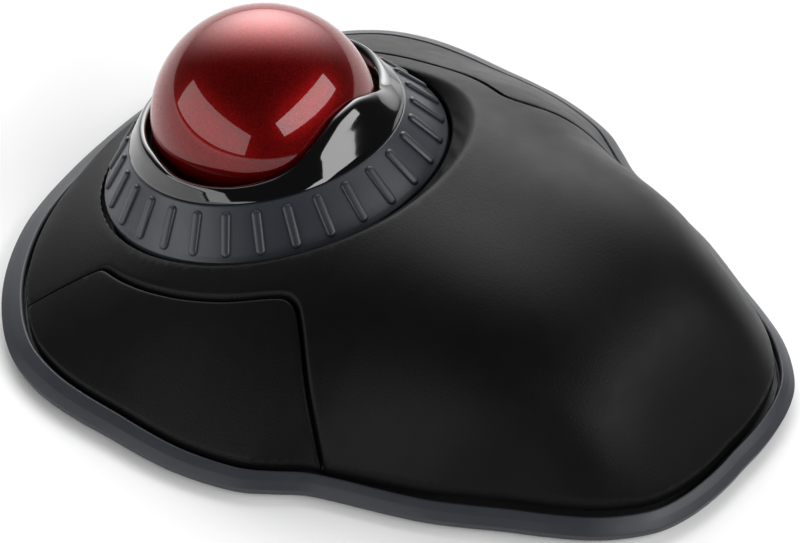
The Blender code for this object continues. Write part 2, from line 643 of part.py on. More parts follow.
def make_base(shop):
    """The base plate with the battery opening, the eject hole, recesses and board posts."""
    outline = inset(TRIM_INNER, GAP)
    plate = shop.add("base_plate", prism([(p.x, p.y) for p in outline], BASE_UNDERSIDE, BASE_TOP), "plastic")
    post_top = BOARD_PLACE[2] - BOARD_SIZE[2] / 2 - GAP
    posts = [rod(1.8 * MM, (x * MM, y * MM, BASE_TOP - 0.4 * MM), (x * MM, y * MM, post_top), 10)
             for x in (-30, 30) for y in (-3, 4)]
    shop.combine(plate, joined(posts), "UNION", "board_posts")
    pockets = [rod(FOOT_RADIUS + GAP, (x * MM, y * MM, 0), (x * MM, y * MM, FOOT_HEIGHT + GAP), 20)
               for x, y in FEET.values()]
    pockets += [rod(HEAD_RADIUS + GAP, (x, y, 0), (x, y, BASE_UNDERSIDE + HEAD_HEIGHT + 2 * GAP / 3), 14)
                for x, y, tip in screw_places().values()]
    shop.combine(plate, joined(pockets), "DIFFERENCE", "recesses")
    door = (2 * TRAY_HALF_LENGTH + 0.6 * MM, TRAY_FRONT - TRAY_REAR + 0.6 * MM, 6 * MM)
    cuts = [box(door, (0, (TRAY_FRONT + TRAY_REAR) / 2, 2 * MM)),
            rod(EJECT_RADIUS + 1 * MM, (0, 28.5 * MM, 0), (0, 28.5 * MM, 4 * MM), 28),
            box((9 * MM, 4 * MM, 6 * MM), (*MODE_SWITCH_PLACE, 2 * MM))]
    cuts += [rod(SCREW_RADIUS + GAP, (x, y, BASE_UNDERSIDE), (x, y, 4 * MM), 12)
             for x, y, tip in screw_places().values()]
    shop.combine(plate, joined(cuts), "DIFFERENCE", "holes")
    door_size = (2 * TRAY_HALF_LENGTH, TRAY_FRONT - TRAY_REAR, 1.4 * MM)
    lid = shop.add("battery_door", box(door_size, (0, 0, 0)), "plastic")
    lid.location = (0, (TRAY_FRONT + TRAY_REAR) / 2, BASE_UNDERSIDE + 0.8 * MM)
    for name, (x, y) in FEET.items():
        foot = shop.add(f"foot_{name}", rod(FOOT_RADIUS, (0, 0, 0), (0, 0, FOOT_HEIGHT), 20), "rubber")
        foot.location = (x * MM, y * MM, 0)


def make_mode_switch(shop):
    """The sliding on-off switch that is worked from underneath."""
    x, y = MODE_SWITCH_PLACE
    body = shop.add("mode_switch_body", box((13 * MM, 7 * MM, 3.6 * MM), (x, y, 4.7 * MM)), "plastic")
    shop.combine(body, box((9.4 * MM, 4.0 * MM, 2.4 * MM), (x, y, 3.0 * MM)), "DIFFERENCE", "track")
    knob = shop.add("mode_switch_knob", box((4 * MM, 3.2 * MM, 2.9 * MM), (0, 0, 0)), "white")
    knob.location = (x - 2 * MM, y, 2.35 * MM)
    grip = [box((0.6 * MM, 4 * MM, 0.6 * MM), (offset * MM, 0, -1.45 * MM)) for offset in (-1.0, 0.0, 1.0)]
    shop.combine(knob, joined(grip), "DIFFERENCE", "grip").parent = knob


def make_power(shop):
    """The battery tray, the two cells and the four contacts."""
    middle = (TRAY_FRONT + TRAY_REAR) / 2
    depth = TRAY_FRONT - TRAY_REAR
    low = BASE_TOP + GAP
    tray = shop.add("battery_tray", box((2 * TRAY_HALF_LENGTH, depth, TRAY_TOP - low),
                                        (0, middle, (TRAY_TOP + low) / 2)), "plastic")
    inside = (2 * (TRAY_HALF_LENGTH - TRAY_WALL), depth - 2 * TRAY_WALL, 20 * MM)
    shop.combine(tray, box(inside, (0, middle, 9 * MM)), "DIFFERENCE", "inside")
    saddle_low = TRAY_TOP - 1.5 * MM
    saddle = box((2 * SADDLE_HALF, depth, SADDLE_TOP - saddle_low),
                 (0, middle, (SADDLE_TOP + saddle_low) / 2))
    shop.combine(tray, saddle, "UNION", "saddle")
    for name, y in CELL_ROWS.items():
        bore = rod(CELL_RADIUS + GAP, (-26 * MM, y, CELL_HEIGHT), (26 * MM, y, CELL_HEIGHT), 24)
        shop.combine(tray, bore, "DIFFERENCE", f"{name}_cell")
        facing = 1 if name == "front" else -1
        cell = rod(CELL_RADIUS, (-CELL_LENGTH / 2, y, CELL_HEIGHT), (CELL_LENGTH / 2, y, CELL_HEIGHT), 24)
        cell = shop.add(f"battery_{name}", cell, "cell")
        nub = rod(2.7 * MM, (facing * 24 * MM, y, CELL_HEIGHT), (facing * 25.7 * MM, y, CELL_HEIGHT), 12)
        shop.combine(cell, nub, "UNION", "terminal")
        plate = box((0.5 * MM, 9 * MM, 9 * MM), (facing * 27.2 * MM, y, CELL_HEIGHT - 1 * MM))
        shop.add(f"positive_contact_{name}", plate, "steel")
        plate = box((0.5 * MM, 9 * MM, 9 * MM), (-facing * 27.2 * MM, y, CELL_HEIGHT - 1 * MM))
        plate = shop.add(f"negative_contact_{name}", plate, "steel")
        spring = rod(3.6 * MM, (-facing * 27.3 * MM, y, CELL_HEIGHT), (-facing * 25.1 * MM, y, CELL_HEIGHT),
                     12, 2.2 * MM)
        shop.combine(plate, spring, "UNION", "spring")


def make_electronics(shop):
    """The main board, its radio chip and the two micro-switches with their plungers."""
    shop.add("main_board", box(BOARD_SIZE, BOARD_PLACE), "board")
    board_top = BOARD_PLACE[2] + BOARD_SIZE[2] / 2
    shop.add("radio_chip", box((9 * MM, 9 * MM, 1.2 * MM), (-14 * MM, 0, board_top + GAP + 0.6 * MM)), "plastic")
    for name, side in (("left", -1), ("right", 1)):
        x, y = side * SWITCH_PLACE[0], SWITCH_PLACE[1]
        middle = board_top + GAP + SWITCH_SIZE[2] / 2
        body = shop.add(f"{name}_switch_body", box(SWITCH_SIZE, (x, y, middle)), "plastic")
        well = box((2.0 * MM, 3.2 * MM, 2 * 2.3 * MM), (x, y, SWITCH_TOP))
        shop.combine(body, well, "DIFFERENCE", "well")
        plunger = shop.add(f"{name}_switch_plunger", box(PLUNGER_SIZE, (0, 0, 0)), "white")
        plunger.location = (x, y, SWITCH_TOP + PLUNGER_STAND - PLUNGER_SIZE[2] / 2)


def main():
    """Build every piece of the trackball mouse."""
    shop = Workshop()
    make_ball(shop)
    make_cup(shop)
    make_motion_sensor(shop)
    make_collar(shop)
    make_ring(shop)
    make_carrier(shop)
    make_case(shop)
    make_trim(shop)
    make_base(shop)
    make_screws(shop)
    make_mode_switch(shop)
    make_power(shop)
    make_electronics(shop)


if __name__ == "__main__":
    main()
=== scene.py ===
"""Looks for a trackball mouse with a scroll ring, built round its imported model.

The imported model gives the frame: every body, the ring's axis, the ball, the trim's outline and
the places of the pieces underneath. The classes below make the fine surfaces that are seen:
the ball in its collar, the ribbed ring, the palm shell and its two buttons, the trim band, and
the feet, screws and door under the case. Forms are worked out in millimetres, and become
metres where their meshes are made.
"""

import json
import logging
import math
from collections.abc import Callable, Sequence
from dataclasses import dataclass
from enum import Enum

import bmesh
import bpy
import numpy as np
from mathutils import Matrix, Vector
from mathutils.geometry import delaunay_2d_cdt


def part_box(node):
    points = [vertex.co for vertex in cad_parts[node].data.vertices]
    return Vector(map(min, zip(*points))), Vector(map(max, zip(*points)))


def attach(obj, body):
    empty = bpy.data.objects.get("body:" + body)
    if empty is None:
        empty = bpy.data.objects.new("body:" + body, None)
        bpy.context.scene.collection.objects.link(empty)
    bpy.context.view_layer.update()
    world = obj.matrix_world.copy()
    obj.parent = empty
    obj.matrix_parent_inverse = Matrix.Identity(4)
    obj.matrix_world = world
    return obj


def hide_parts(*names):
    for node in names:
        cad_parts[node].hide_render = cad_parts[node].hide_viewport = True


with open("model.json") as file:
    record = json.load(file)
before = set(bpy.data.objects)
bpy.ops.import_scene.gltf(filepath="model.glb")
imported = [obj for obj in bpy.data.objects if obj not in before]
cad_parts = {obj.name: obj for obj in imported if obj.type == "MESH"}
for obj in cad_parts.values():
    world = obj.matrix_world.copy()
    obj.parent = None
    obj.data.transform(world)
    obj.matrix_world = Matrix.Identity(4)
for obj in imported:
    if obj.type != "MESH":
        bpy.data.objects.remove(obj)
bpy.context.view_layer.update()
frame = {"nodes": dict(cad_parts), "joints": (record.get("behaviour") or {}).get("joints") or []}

MM = 0.001
log = logging.getLogger("trackball")

Profile = Sequence[tuple[float, float]]


# ---------------------------------------------------------------- finishes


class Recipe:
    """A node material under construction, with its Principled shader."""

    def __init__(self, name: str) -> None:
        """Start a material.

        Args:
            name: The material's name.
        """
        self.material = bpy.data.materials.new(name)
        self.material.use_nodes = True
        self.tree = self.material.node_tree
        self.shader = self.tree.nodes["Principled BSDF"]
        self.place = self.add("ShaderNodeTexCoord").outputs["Object"]

    def add(self, kind: str, **settings: object) -> bpy.types.Node:
        """Add a node.

        Args:
            kind: The node's type name.
            settings: Properties to set on the node.

        Returns:
            The new node.
        """
        node = self.tree.nodes.new(kind)
        for key, value in settings.items():
            setattr(node, key, value)
        return node

    def link(self, source: bpy.types.NodeSocket, target: bpy.types.NodeSocket) -> None:
        """Join two sockets."""
        self.tree.links.new(source, target)

    def set(self, **values: float | tuple[float, ...]) -> None:
        """Set the shader's own sockets, named with underscores for spaces."""
        for key, value in values.items():
            self.shader.inputs[key.replace("_", " ")].default_value = value

    def feed(self, **sources: bpy.types.NodeSocket) -> None:
        """Join sockets to the shader's own, named with underscores for spaces."""
        for key, source in sources.items():
            self.link(source, self.shader.inputs[key.replace("_", " ")])

    def noise(self, scale: float, detail: float = 2.0, stretch: Sequence[float] | None = None,
              ) -> bpy.types.NodeSocket:
        """Noise over the piece's own place.

        Args:
            scale: Waves per metre.
            detail: Octaves of finer noise.
            stretch: Optional scale along each axis.

        Returns:
            The noise value, from 0 to 1.
        """
        node = self.add("ShaderNodeTexNoise")
        node.inputs["Scale"].default_value = scale
        node.inputs["Detail"].default_value = detail
        source = self.place
        if stretch:
            mapping = self.add("ShaderNodeMapping")
            mapping.inputs["Scale"].default_value = stretch
            self.link(source, mapping.inputs["Vector"])
            source = mapping.outputs["Vector"]
        self.link(source, node.inputs["Vector"])
        return node.outputs["Fac"]

    def spread(self, value: bpy.types.NodeSocket, low: float, high: float,
               start: float = 0.3, end: float = 0.7) -> bpy.types.NodeSocket:
        """Map a 0 to 1 value onto a range.

        Args:
            value: The socket that is mapped.
            low: The result at start.
            high: The result at end.
            start: The lowest value that changes the result.
            end: The highest value that changes the result.

        Returns:
            The mapped value.
        """
        node = self.add("ShaderNodeMapRange")
        node.inputs["From Min"].default_value = start
        node.inputs["From Max"].default_value = end
        node.inputs["To Min"].default_value = low
        node.inputs["To Max"].default_value = high
        self.link(value, node.inputs["Value"])
        return node.outputs["Result"]

    def blend(self, share: bpy.types.NodeSocket, first: Sequence[float], second: Sequence[float],
              ) -> bpy.types.NodeSocket:
        """Mix two colours by a value."""
        node = self.add("ShaderNodeMix", data_type="RGBA")
        self.link(share, node.inputs["Factor"])
        for socket, colour in zip([item for item in node.inputs if item.type == "RGBA"], (first, second)):
            socket.default_value = (*colour, 1.0)
        return [item for item in node.outputs if item.type == "RGBA"][0]

    def bump(self, height: bpy.types.NodeSocket, distance: float) -> bpy.types.NodeSocket:
        """Turn a height value into a normal.

        Args:
            height: The height value.
            distance: Metres for a height of one.

        Returns:
            The normal.
        """
        node = self.add("ShaderNodeBump")
        node.inputs["Distance"].default_value = distance
        node.inputs["Strength"].default_value = 1.0
        self.link(height, node.inputs["Height"])
        return node.outputs["Normal"]


@dataclass(frozen=True)
class MouldedPlastic:
    """Moulded plastic with a fine spark-eroded grain and slight changes of tone and gloss."""

    colour: tuple[float, float, float]
    roughness: float
    grain: float = 2600.0
    depth: float = 0.012 * MM
    tone: float = 0.12
    specular: float = 0.5
    coat: float = 0.0

    def material(self, name: str) -> bpy.types.Material:
        """Build the material."""
        recipe = Recipe(name)
        recipe.set(Specular_IOR_Level=self.specular, Coat_Weight=self.coat, Coat_Roughness=0.25)
        cloud = recipe.noise(70.0, 3.0)
        darker = tuple(value * (1.0 - self.tone) for value in self.colour)
        lighter = tuple(value * (1.0 + self.tone) for value in self.colour)
        gloss = recipe.spread(recipe.noise(240.0, 4.0), self.roughness - 0.03, self.roughness + 0.03)
        recipe.feed(Base_Color=recipe.blend(cloud, darker, lighter), Roughness=gloss,
                    Normal=recipe.bump(recipe.noise(self.grain), self.depth))
        return recipe.material


@dataclass(frozen=True)
class PolishedPlastic:
    """Polished plastic: deep gloss with faint handling haze."""

    colour: tuple[float, float, float]
    roughness: float = 0.06

    def material(self, name: str) -> bpy.types.Material:
        """Build the material."""
        recipe = Recipe(name)
        recipe.set(Base_Color=(*self.colour, 1.0), Coat_Weight=0.6, Coat_Roughness=0.03)
        haze = recipe.spread(recipe.noise(90.0, 4.0), self.roughness * 0.7, self.roughness * 1.6)
        recipe.feed(Roughness=haze, Normal=recipe.bump(recipe.noise(120.0, 1.0), 0.004 * MM))
        return recipe.material


@dataclass(frozen=True)
class CandyLacquer:
    """Deep red lacquer over fine metallic flake, under a hard clear coat."""

    deep: tuple[float, float, float]
    bright: tuple[float, float, float]
    flake: float = 5200.0

    def material(self, name: str) -> bpy.types.Material:
        """Build the material."""
        recipe = Recipe(name)
        recipe.set(Metallic=0.75, Coat_Weight=1.0, Coat_Roughness=0.02, Coat_IOR=1.42,
                   Specular_Tint=(0.9, 0.14, 0.10, 1.0))
        flakes = recipe.add("ShaderNodeTexVoronoi")
        flakes.inputs["Scale"].default_value = self.flake
        recipe.link(recipe.place, flakes.inputs["Vector"])
        parts = recipe.add("ShaderNodeSeparateColor")
        recipe.link(flakes.outputs["Color"], parts.inputs["Color"])
        spark = recipe.spread(parts.outputs["Red"], 0.0, 1.0, 0.35, 1.0)
        recipe.feed(Base_Color=recipe.blend(spark, self.deep, self.bright),
                    Roughness=recipe.spread(parts.outputs["Green"], 0.30, 0.44, 0.0, 1.0),
                    Normal=recipe.bump(parts.outputs["Blue"], 0.002 * MM))
        return recipe.material


@dataclass(frozen=True)
class Metal:
    """Plated or polished metal with fine turning marks."""

    colour: tuple[float, float, float]
    roughness: float

    def material(self, name: str) -> bpy.types.Material:
        """Build the material."""
        recipe = Recipe(name)
        recipe.set(Metallic=1.0)
        tone = recipe.noise(500.0, 3.0)
        darker = tuple(value * 0.85 for value in self.colour)
        marks = recipe.noise(900.0, 3.0, (1.0, 1.0, 6.0))
        recipe.feed(Base_Color=recipe.blend(tone, darker, self.colour),
                    Roughness=recipe.spread(marks, self.roughness * 0.7, self.roughness * 1.3),
                    Normal=recipe.bump(marks, 0.004 * MM))
        return recipe.material


@dataclass(frozen=True)
class Rubber:
    """Dull, slightly dusty rubber."""

    colour: tuple[float, float, float]

    def material(self, name: str) -> bpy.types.Material:
        """Build the material."""
        recipe = Recipe(name)
        recipe.set(Specular_IOR_Level=0.25)
        dust = recipe.spread(recipe.noise(300.0, 5.0), 0.0, 1.0, 0.45, 0.8)
        dusty = tuple(value * 1.8 + 0.01 for value in self.colour)
        recipe.feed(Base_Color=recipe.blend(dust, self.colour, dusty),
                    Roughness=recipe.spread(dust, 0.75, 0.92, 0.0, 1.0),
                    Normal=recipe.bump(recipe.noise(3500.0), 0.02 * MM))
        return recipe.material


@dataclass(frozen=True)
class CircuitBoard:
    """Solder mask over faint copper tracks that run square to each other."""

    mask: tuple[float, float, float]
    track: tuple[float, float, float]

    def material(self, name: str) -> bpy.types.Material:
        """Build the material."""
        recipe = Recipe(name)
        recipe.set(Coat_Weight=0.3, Coat_Roughness=0.2)
        bricks = recipe.add("ShaderNodeTexBrick", offset=0.5)
        bricks.inputs["Scale"].default_value = 420.0
        bricks.inputs["Mortar Size"].default_value = 0.04
        bricks.inputs["Color1"].default_value = (*self.mask, 1.0)
        bricks.inputs["Color2"].default_value = (*(value * 1.15 for value in self.mask), 1.0)
        bricks.inputs["Mortar"].default_value = (*self.track, 1.0)
        recipe.link(recipe.place, bricks.inputs["Vector"])
        recipe.feed(Base_Color=bricks.outputs["Color"],
                    Roughness=recipe.spread(recipe.noise(300.0), 0.38, 0.5),
                    Normal=recipe.bump(bricks.outputs["Fac"], 0.03 * MM))
        return recipe.material


@dataclass(frozen=True)
class ClearPlastic:
    """Clear optical plastic with a trace of tint."""

    tint: tuple[float, float, float]

    def material(self, name: str) -> bpy.types.Material:
        """Build the material."""
        recipe = Recipe(name)
        recipe.set(Base_Color=(*self.tint, 1.0), Transmission_Weight=0.9, IOR=1.49)
        recipe.feed(Roughness=recipe.spread(recipe.noise(200.0), 0.03, 0.08))
        return recipe.material


class Look(Enum):
    """The finishes of the device, by what they are."""

    SOFT_TOUCH = MouldedPlastic((0.0040, 0.0040, 0.0041), 0.38, depth=0.03 * MM, specular=0.085)
    TRIM_SATIN = MouldedPlastic((0.021, 0.024, 0.031), 0.40, grain=3200.0, depth=0.012 * MM, specular=0.4)
    RING_SATIN = MouldedPlastic((0.026, 0.030, 0.038), 0.34, grain=3200.0, depth=0.008 * MM, specular=0.4)
    COLLAR_GLOSS = PolishedPlastic((0.003, 0.003, 0.0035))
    BALL_CANDY = CandyLacquer((0.10, 0.0006, 0.0010), (0.175, 0.0012, 0.0020))
    UNDERSIDE = MouldedPlastic((0.016, 0.016, 0.017), 0.55, grain=1800.0, depth=0.02 * MM)
    INNER = MouldedPlastic((0.012, 0.012, 0.013), 0.60, grain=1800.0, depth=0.02 * MM)
    FOOT_RUBBER = Rubber((0.014, 0.014, 0.015))
    SCREW_STEEL = Metal((0.50, 0.50, 0.51), 0.30)
    CERAMIC = PolishedPlastic((0.80, 0.79, 0.75), 0.12)
    LENS = ClearPlastic((0.90, 0.94, 0.97))
    BOARD = CircuitBoard((0.012, 0.085, 0.036), (0.04, 0.17, 0.07))
    SWITCH_WHITE = MouldedPlastic((0.72, 0.71, 0.66), 0.5, tone=0.04)
    CELL_WRAP = MouldedPlastic((0.10, 0.105, 0.12), 0.30, depth=0.003 * MM, coat=0.4)

    def material(self) -> bpy.types.Material:
        """The finish's one shared material, built when first asked for."""
        name = self.name.lower()
        return bpy.data.materials.get(name) or self.value.material(name)


# ---------------------------------------------------------------- forms


@dataclass
class Form:
    """Vertices, one row each in millimetres, and the faces between them."""

    vertices: np.ndarray
    faces: list[Sequence[int]]

    def __add__(self, other: "Form") -> "Form":
        """Both forms as one."""
        start = len(self.vertices)
        moved = [tuple(index + start for index in face) for face in other.faces]
        return Form(np.vstack([self.vertices, other.vertices]), self.faces + moved)

    def moved(self, place: Matrix) -> "Form":
        """The form carried by a matrix."""
        turn = np.array(place)
        return Form(self.vertices @ turn[:3, :3].T + turn[:3, 3], self.faces)

    def mesh(self, name: str) -> bpy.types.Mesh:
        """The form as a closed mesh in metres, facing out."""
        mesh = bpy.data.meshes.new(name)
        mesh.from_pydata((self.vertices * MM).tolist(), [], [list(face) for face in self.faces])
        work = bmesh.new()
        work.from_mesh(mesh)
        bmesh.ops.remove_doubles(work, verts=work.verts, dist=2e-7)
        bmesh.ops.recalc_face_normals(work, faces=work.faces)
        work.to_mesh(mesh)
        work.free()
        return mesh


def fillet(corners: Sequence[tuple[float, float, float]], steps: int = 6) -> list[tuple[float, float]]:
    """Round the corners of a closed polygon.

    Args:
        corners: Points (x, y, radius) in order; a radius of 0 keeps a corner sharp.
        steps: Pieces of each rounded corner.

    Returns:
        The rounded polygon's points.
    """
    points: list[tuple[float, float]] = []
    for index, (x, y, radius) in enumerate(corners):
        here = Vector((x, y))
        if radius <= 0.0:
            points.append((x, y))
            continue
        before = Vector(corners[index - 1][:2]) - here
        after = Vector(corners[(index + 1) % len(corners)][:2]) - here
        back = min(radius / math.tan(before.angle(after) / 2), before.length * 0.49, after.length * 0.49)
        start, end = here + before.normalized() * back, here + after.normalized() * back
        for step in range(steps + 1):
            t = step / steps
            bend = start * (1 - t) ** 2 + here * 2 * t * (1 - t) + end * t ** 2
            points.append((bend.x, bend.y))
    return points


def rows_of(rows: np.ndarray, joined: bool, capped: bool = False) -> Form:
    """Quads between rows of points that each run round a loop.

    Args:
        rows: Points by row and column, three numbers each.
        joined: Whether the last row joins the first.
        capped: Whether the first and last rows are closed with a face.

    Returns:
        The form.
    """
    count, width = rows.shape[:2]
    faces: list[Sequence[int]] = []
    for row in range(count if joined else count - 1):
        below = (row + 1) % count
        for column in range(width):
            after = (column + 1) % width
            faces.append((row * width + column, row * width + after,
                          below * width + after, below * width + column))
    if capped:
        faces += [tuple(range(width)), tuple(range((count - 1) * width, count * width))]
    return Form(rows.reshape(-1, 3), faces)


def turned(profile: Profile, steps: int, shape: Callable[[np.ndarray], np.ndarray] | None = None,
           joined: bool = True) -> Form:
    """Turn a profile round the Z axis.

    Args:
        profile: Points (radius, height).
        steps: Pieces of a full turn.
        shape: Optional change of the points, an array in and an array out.
        joined: Whether the profile is a closed loop; otherwise it starts and ends on the axis.

    Returns:
        The form.
    """
    angles = np.linspace(0.0, 2 * math.pi, steps, endpoint=False)
    rows = np.array([np.column_stack([radius * np.cos(angles), radius * np.sin(angles),
                                      np.full(steps, height)]) for radius, height in profile])
    if shape:
        rows = shape(rows.reshape(-1, 3)).reshape(rows.shape)
    return rows_of(rows, joined)


def slab(outline: Profile, low: float, high: float, lip: float) -> Form:
    """A flat plate with rounded lips on both faces.

    Args:
        outline: Its plan, counter-clockwise.
        low: Height of its lower face.
        high: Height of its upper face.
        lip: Radius of the lips.

    Returns:
        The form.
    """
    loop = np.array(outline)
    rows = []
    for base, sign in ((low, 1.0), (high, -1.0)):
        angles = np.linspace(0.0, math.pi / 2, 5)
        steps = [(lip * (1 - math.sin(a)), base + sign * lip * (1 - math.cos(a))) for a in angles]
        rows += [(inset(loop, away), height) for away, height in (steps if sign > 0 else steps[::-1])]
    points = np.array([np.column_stack([ring, np.full(len(ring), height)]) for ring, height in rows])
    return rows_of(points, False, capped=True)


# ---------------------------------------------------------------- plan curves


def smooth_curve(points: np.ndarray, steps: int, closed: bool) -> np.ndarray:
    """A smooth curve through points.

    Args:
        points: Points (x, y) in order.
        steps: Pieces between two neighbours.
        closed: Whether the last point joins the first.

    Returns:
        The curve's points.
    """
    if closed:
        before, start, end, after = (np.roll(points, shift, 0) for shift in (1, 0, -1, -2))
    else:
        padded = np.vstack([2 * points[0] - points[1], points, 2 * points[-1] - points[-2]])
        before, start, end, after = padded[:-3], padded[1:-2], padded[2:-1], padded[3:]
    t = np.linspace(0.0, 1.0, steps, endpoint=False)[None, :, None]
    before, start, end, after = (row[:, None, :] for row in (before, start, end, after))
    curve = 0.5 * (2 * start + (end - before) * t + (2 * before - 5 * start + 4 * end - after) * t ** 2
                   + (3 * start - before - 3 * end + after) * t ** 3).reshape(-1, 2)
    return curve if closed else np.vstack([curve, points[-1]])


def side_of(curve: np.ndarray, closed: bool = True) -> np.ndarray:
    """Unit directions to the left of a curve, at each of its points."""
    if closed:
        along = np.roll(curve, -1, 0) - np.roll(curve, 1, 0)
    else:
        along = np.gradient(curve, axis=0)
    along = along / np.maximum(np.linalg.norm(along, axis=1, keepdims=True), 1e-9)
    return np.column_stack([-along[:, 1], along[:, 0]])


def inset(curve: np.ndarray, distance: float | np.ndarray) -> np.ndarray:
    """A closed counter-clockwise curve moved inwards, by one distance or one for each point."""
    return curve + side_of(curve) * np.reshape(distance, (-1, 1))


def eased(curve: np.ndarray, width: int) -> np.ndarray:
    """An open curve with its corners eased over a number of points; its ends stay."""
    half = width // 2
    padded = np.vstack([2 * curve[0] - curve[half:0:-1], curve, 2 * curve[-1] - curve[-2:-half - 2:-1]])
    weight = np.hanning(width + 2)[1:-1]
    return np.column_stack([np.convolve(row, weight / weight.sum(), "valid") for row in padded.T])


def even(curve: np.ndarray, spacing: float, closed: bool) -> np.ndarray:
    """The curve with its points spaced evenly.

    Args:
        curve: Points (x, y) in order.
        spacing: About how far apart the points end up.
        closed: Whether the last point joins the first.

    Returns:
        The new points.
    """
    line = np.vstack([curve, curve[:1]]) if closed else curve
    run = np.concatenate([[0.0], np.cumsum(np.linalg.norm(np.diff(line, axis=0), axis=1))])
    count = max(int(run[-1] / spacing), 2)
    at = np.linspace(0.0, run[-1], count + 1)
    points = np.column_stack([np.interp(at, run, line[:, 0]), np.interp(at, run, line[:, 1])])
    return points[:-1] if closed else points


def distance_to(points: np.ndarray, line: np.ndarray, closed: bool) -> np.ndarray:
    """Distance from each point to a line of short pieces."""
    starts, ends = (line, np.roll(line, -1, 0)) if closed else (line[:-1], line[1:])
    run = ends - starts
    size = np.maximum((run ** 2).sum(1), 1e-12)
    best = np.empty(len(points))
    for first in range(0, len(points), 400):
        away = points[first:first + 400, None, :] - starts[None]
        share = np.clip((away * run).sum(2) / size, 0.0, 1.0)
        best[first:first + 400] = ((away - share[..., None] * run) ** 2).sum(2).min(1)
    return np.sqrt(best)


def within(points: np.ndarray, loop: np.ndarray) -> np.ndarray:
    """Whether each point lies inside a closed curve."""
    after = np.roll(loop, -1, 0)
    inside = np.zeros(len(points), bool)
    for first in range(0, len(points), 400):
        x, y = points[first:first + 400, 0:1], points[first:first + 400, 1:2]
        spans = (loop[:, 1] > y) != (after[:, 1] > y)
        rise = np.where(np.abs(after[:, 1] - loop[:, 1]) < 1e-12, 1e-12, after[:, 1] - loop[:, 1])
        cross = loop[:, 0] + (y - loop[:, 1]) * (after[:, 0] - loop[:, 0]) / rise
        inside[first:first + 400] = (spans & (x < cross)).sum(1) % 2 == 1
    return inside


def between(loop: np.ndarray, start: np.ndarray, end: np.ndarray) -> np.ndarray:
    """The part of a closed curve that runs from near one point to near another."""
    first = int(np.linalg.norm(loop - start, axis=1).argmin()) + 1
    last = int(np.linalg.norm(loop - end, axis=1).argmin())
    length = (last - first) % len(loop)
    return loop[(first + np.arange(length)) % len(loop)]


def least(first: np.ndarray, second: np.ndarray, blend: float) -> np.ndarray:
    """The lesser of two heights, with the corner between them rounded."""
    share = np.clip(0.5 + 0.5 * (second - first) / blend, 0.0, 1.0)
    return second + (first - second) * share - blend * share * (1.0 - share)


def over(node: str) -> tuple[float, float, float]:
    """The middle of a frame node's top, in millimetres."""
    low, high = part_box(node)
    return (low.x + high.x) / 2 / MM, (low.y + high.y) / 2 / MM, high.z / MM


# ---------------------------------------------------------------- pieces


def placed(name: str, data: bpy.types.ID) -> bpy.types.Object:
    """A new object in the scene, at the origin, that holds the given data."""
    thing = bpy.data.objects.new(name, data)
    bpy.context.scene.collection.objects.link(thing)
    return thing


def piece(form: Form | bpy.types.Mesh, name: str, look: Look, body: str,
          replaces: Sequence[str] = (), sharp: float = 40.0) -> bpy.types.Object:
    """Make a form a finished piece: shaded, dressed and riding on its body.

    Args:
        form: The piece's form in millimetres, or its mesh in metres, already in its place.
        name: The piece's name.
        look: Its finish.
        body: The body that it moves with.
        replaces: Frame nodes that it stands for.
        sharp: Edges bent by more than this many degrees stay sharp.

    Returns:
        The piece.
    """
    mesh = form.mesh(name) if isinstance(form, Form) else form
    thing = placed(name, mesh)
    mesh.materials.clear()
    mesh.materials.append(look.material())
    mesh.shade_smooth()
    mesh.set_sharp_from_angle(angle=math.radians(sharp))
    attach(thing, body)
    if replaces:
        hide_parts(*replaces)
    log.info("%s: %d faces on %s", name, len(mesh.polygons), body)
    return thing


# ---------------------------------------------------------------- geometry nodes


class CopyingTree:
    """A Geometry Nodes tree that sets copies of a mesh on points and gives them one finish."""

    def __init__(self, name: str, inputs: dict[str, str]) -> None:
        """Start the tree with its copying end; a kind of tree adds where points and mesh come from.

        Args:
            name: The tree's name.
            inputs: The kind of each further input, by name.
        """
        self.tree = bpy.data.node_groups.new(name, "GeometryNodeTree")
        for label, kind in {"Geometry": "Geometry", **inputs, "Material": "Material"}.items():
            self.tree.interface.new_socket(label, in_out="INPUT", socket_type=f"NodeSocket{kind}")
        self.tree.interface.new_socket("Geometry", in_out="OUTPUT", socket_type="NodeSocketGeometry")
        self.source = self.add("NodeGroupInput")
        self.copies = self.add("GeometryNodeInstanceOnPoints")
        real, dress = self.add("GeometryNodeRealizeInstances"), self.add("GeometryNodeSetMaterial")
        self.link(self.copies.outputs[0], real.inputs[0])
        self.link(real.outputs[0], dress.inputs["Geometry"])
        self.link(self.source.outputs["Material"], dress.inputs["Material"])
        self.link(dress.outputs[0], self.add("NodeGroupOutput").inputs[0])

    def add(self, kind: str) -> bpy.types.Node:
        """Add a node."""
        return self.tree.nodes.new(kind)

    def link(self, source: bpy.types.NodeSocket, target: bpy.types.NodeSocket) -> None:
        """Join two sockets."""
        self.tree.links.new(source, target)


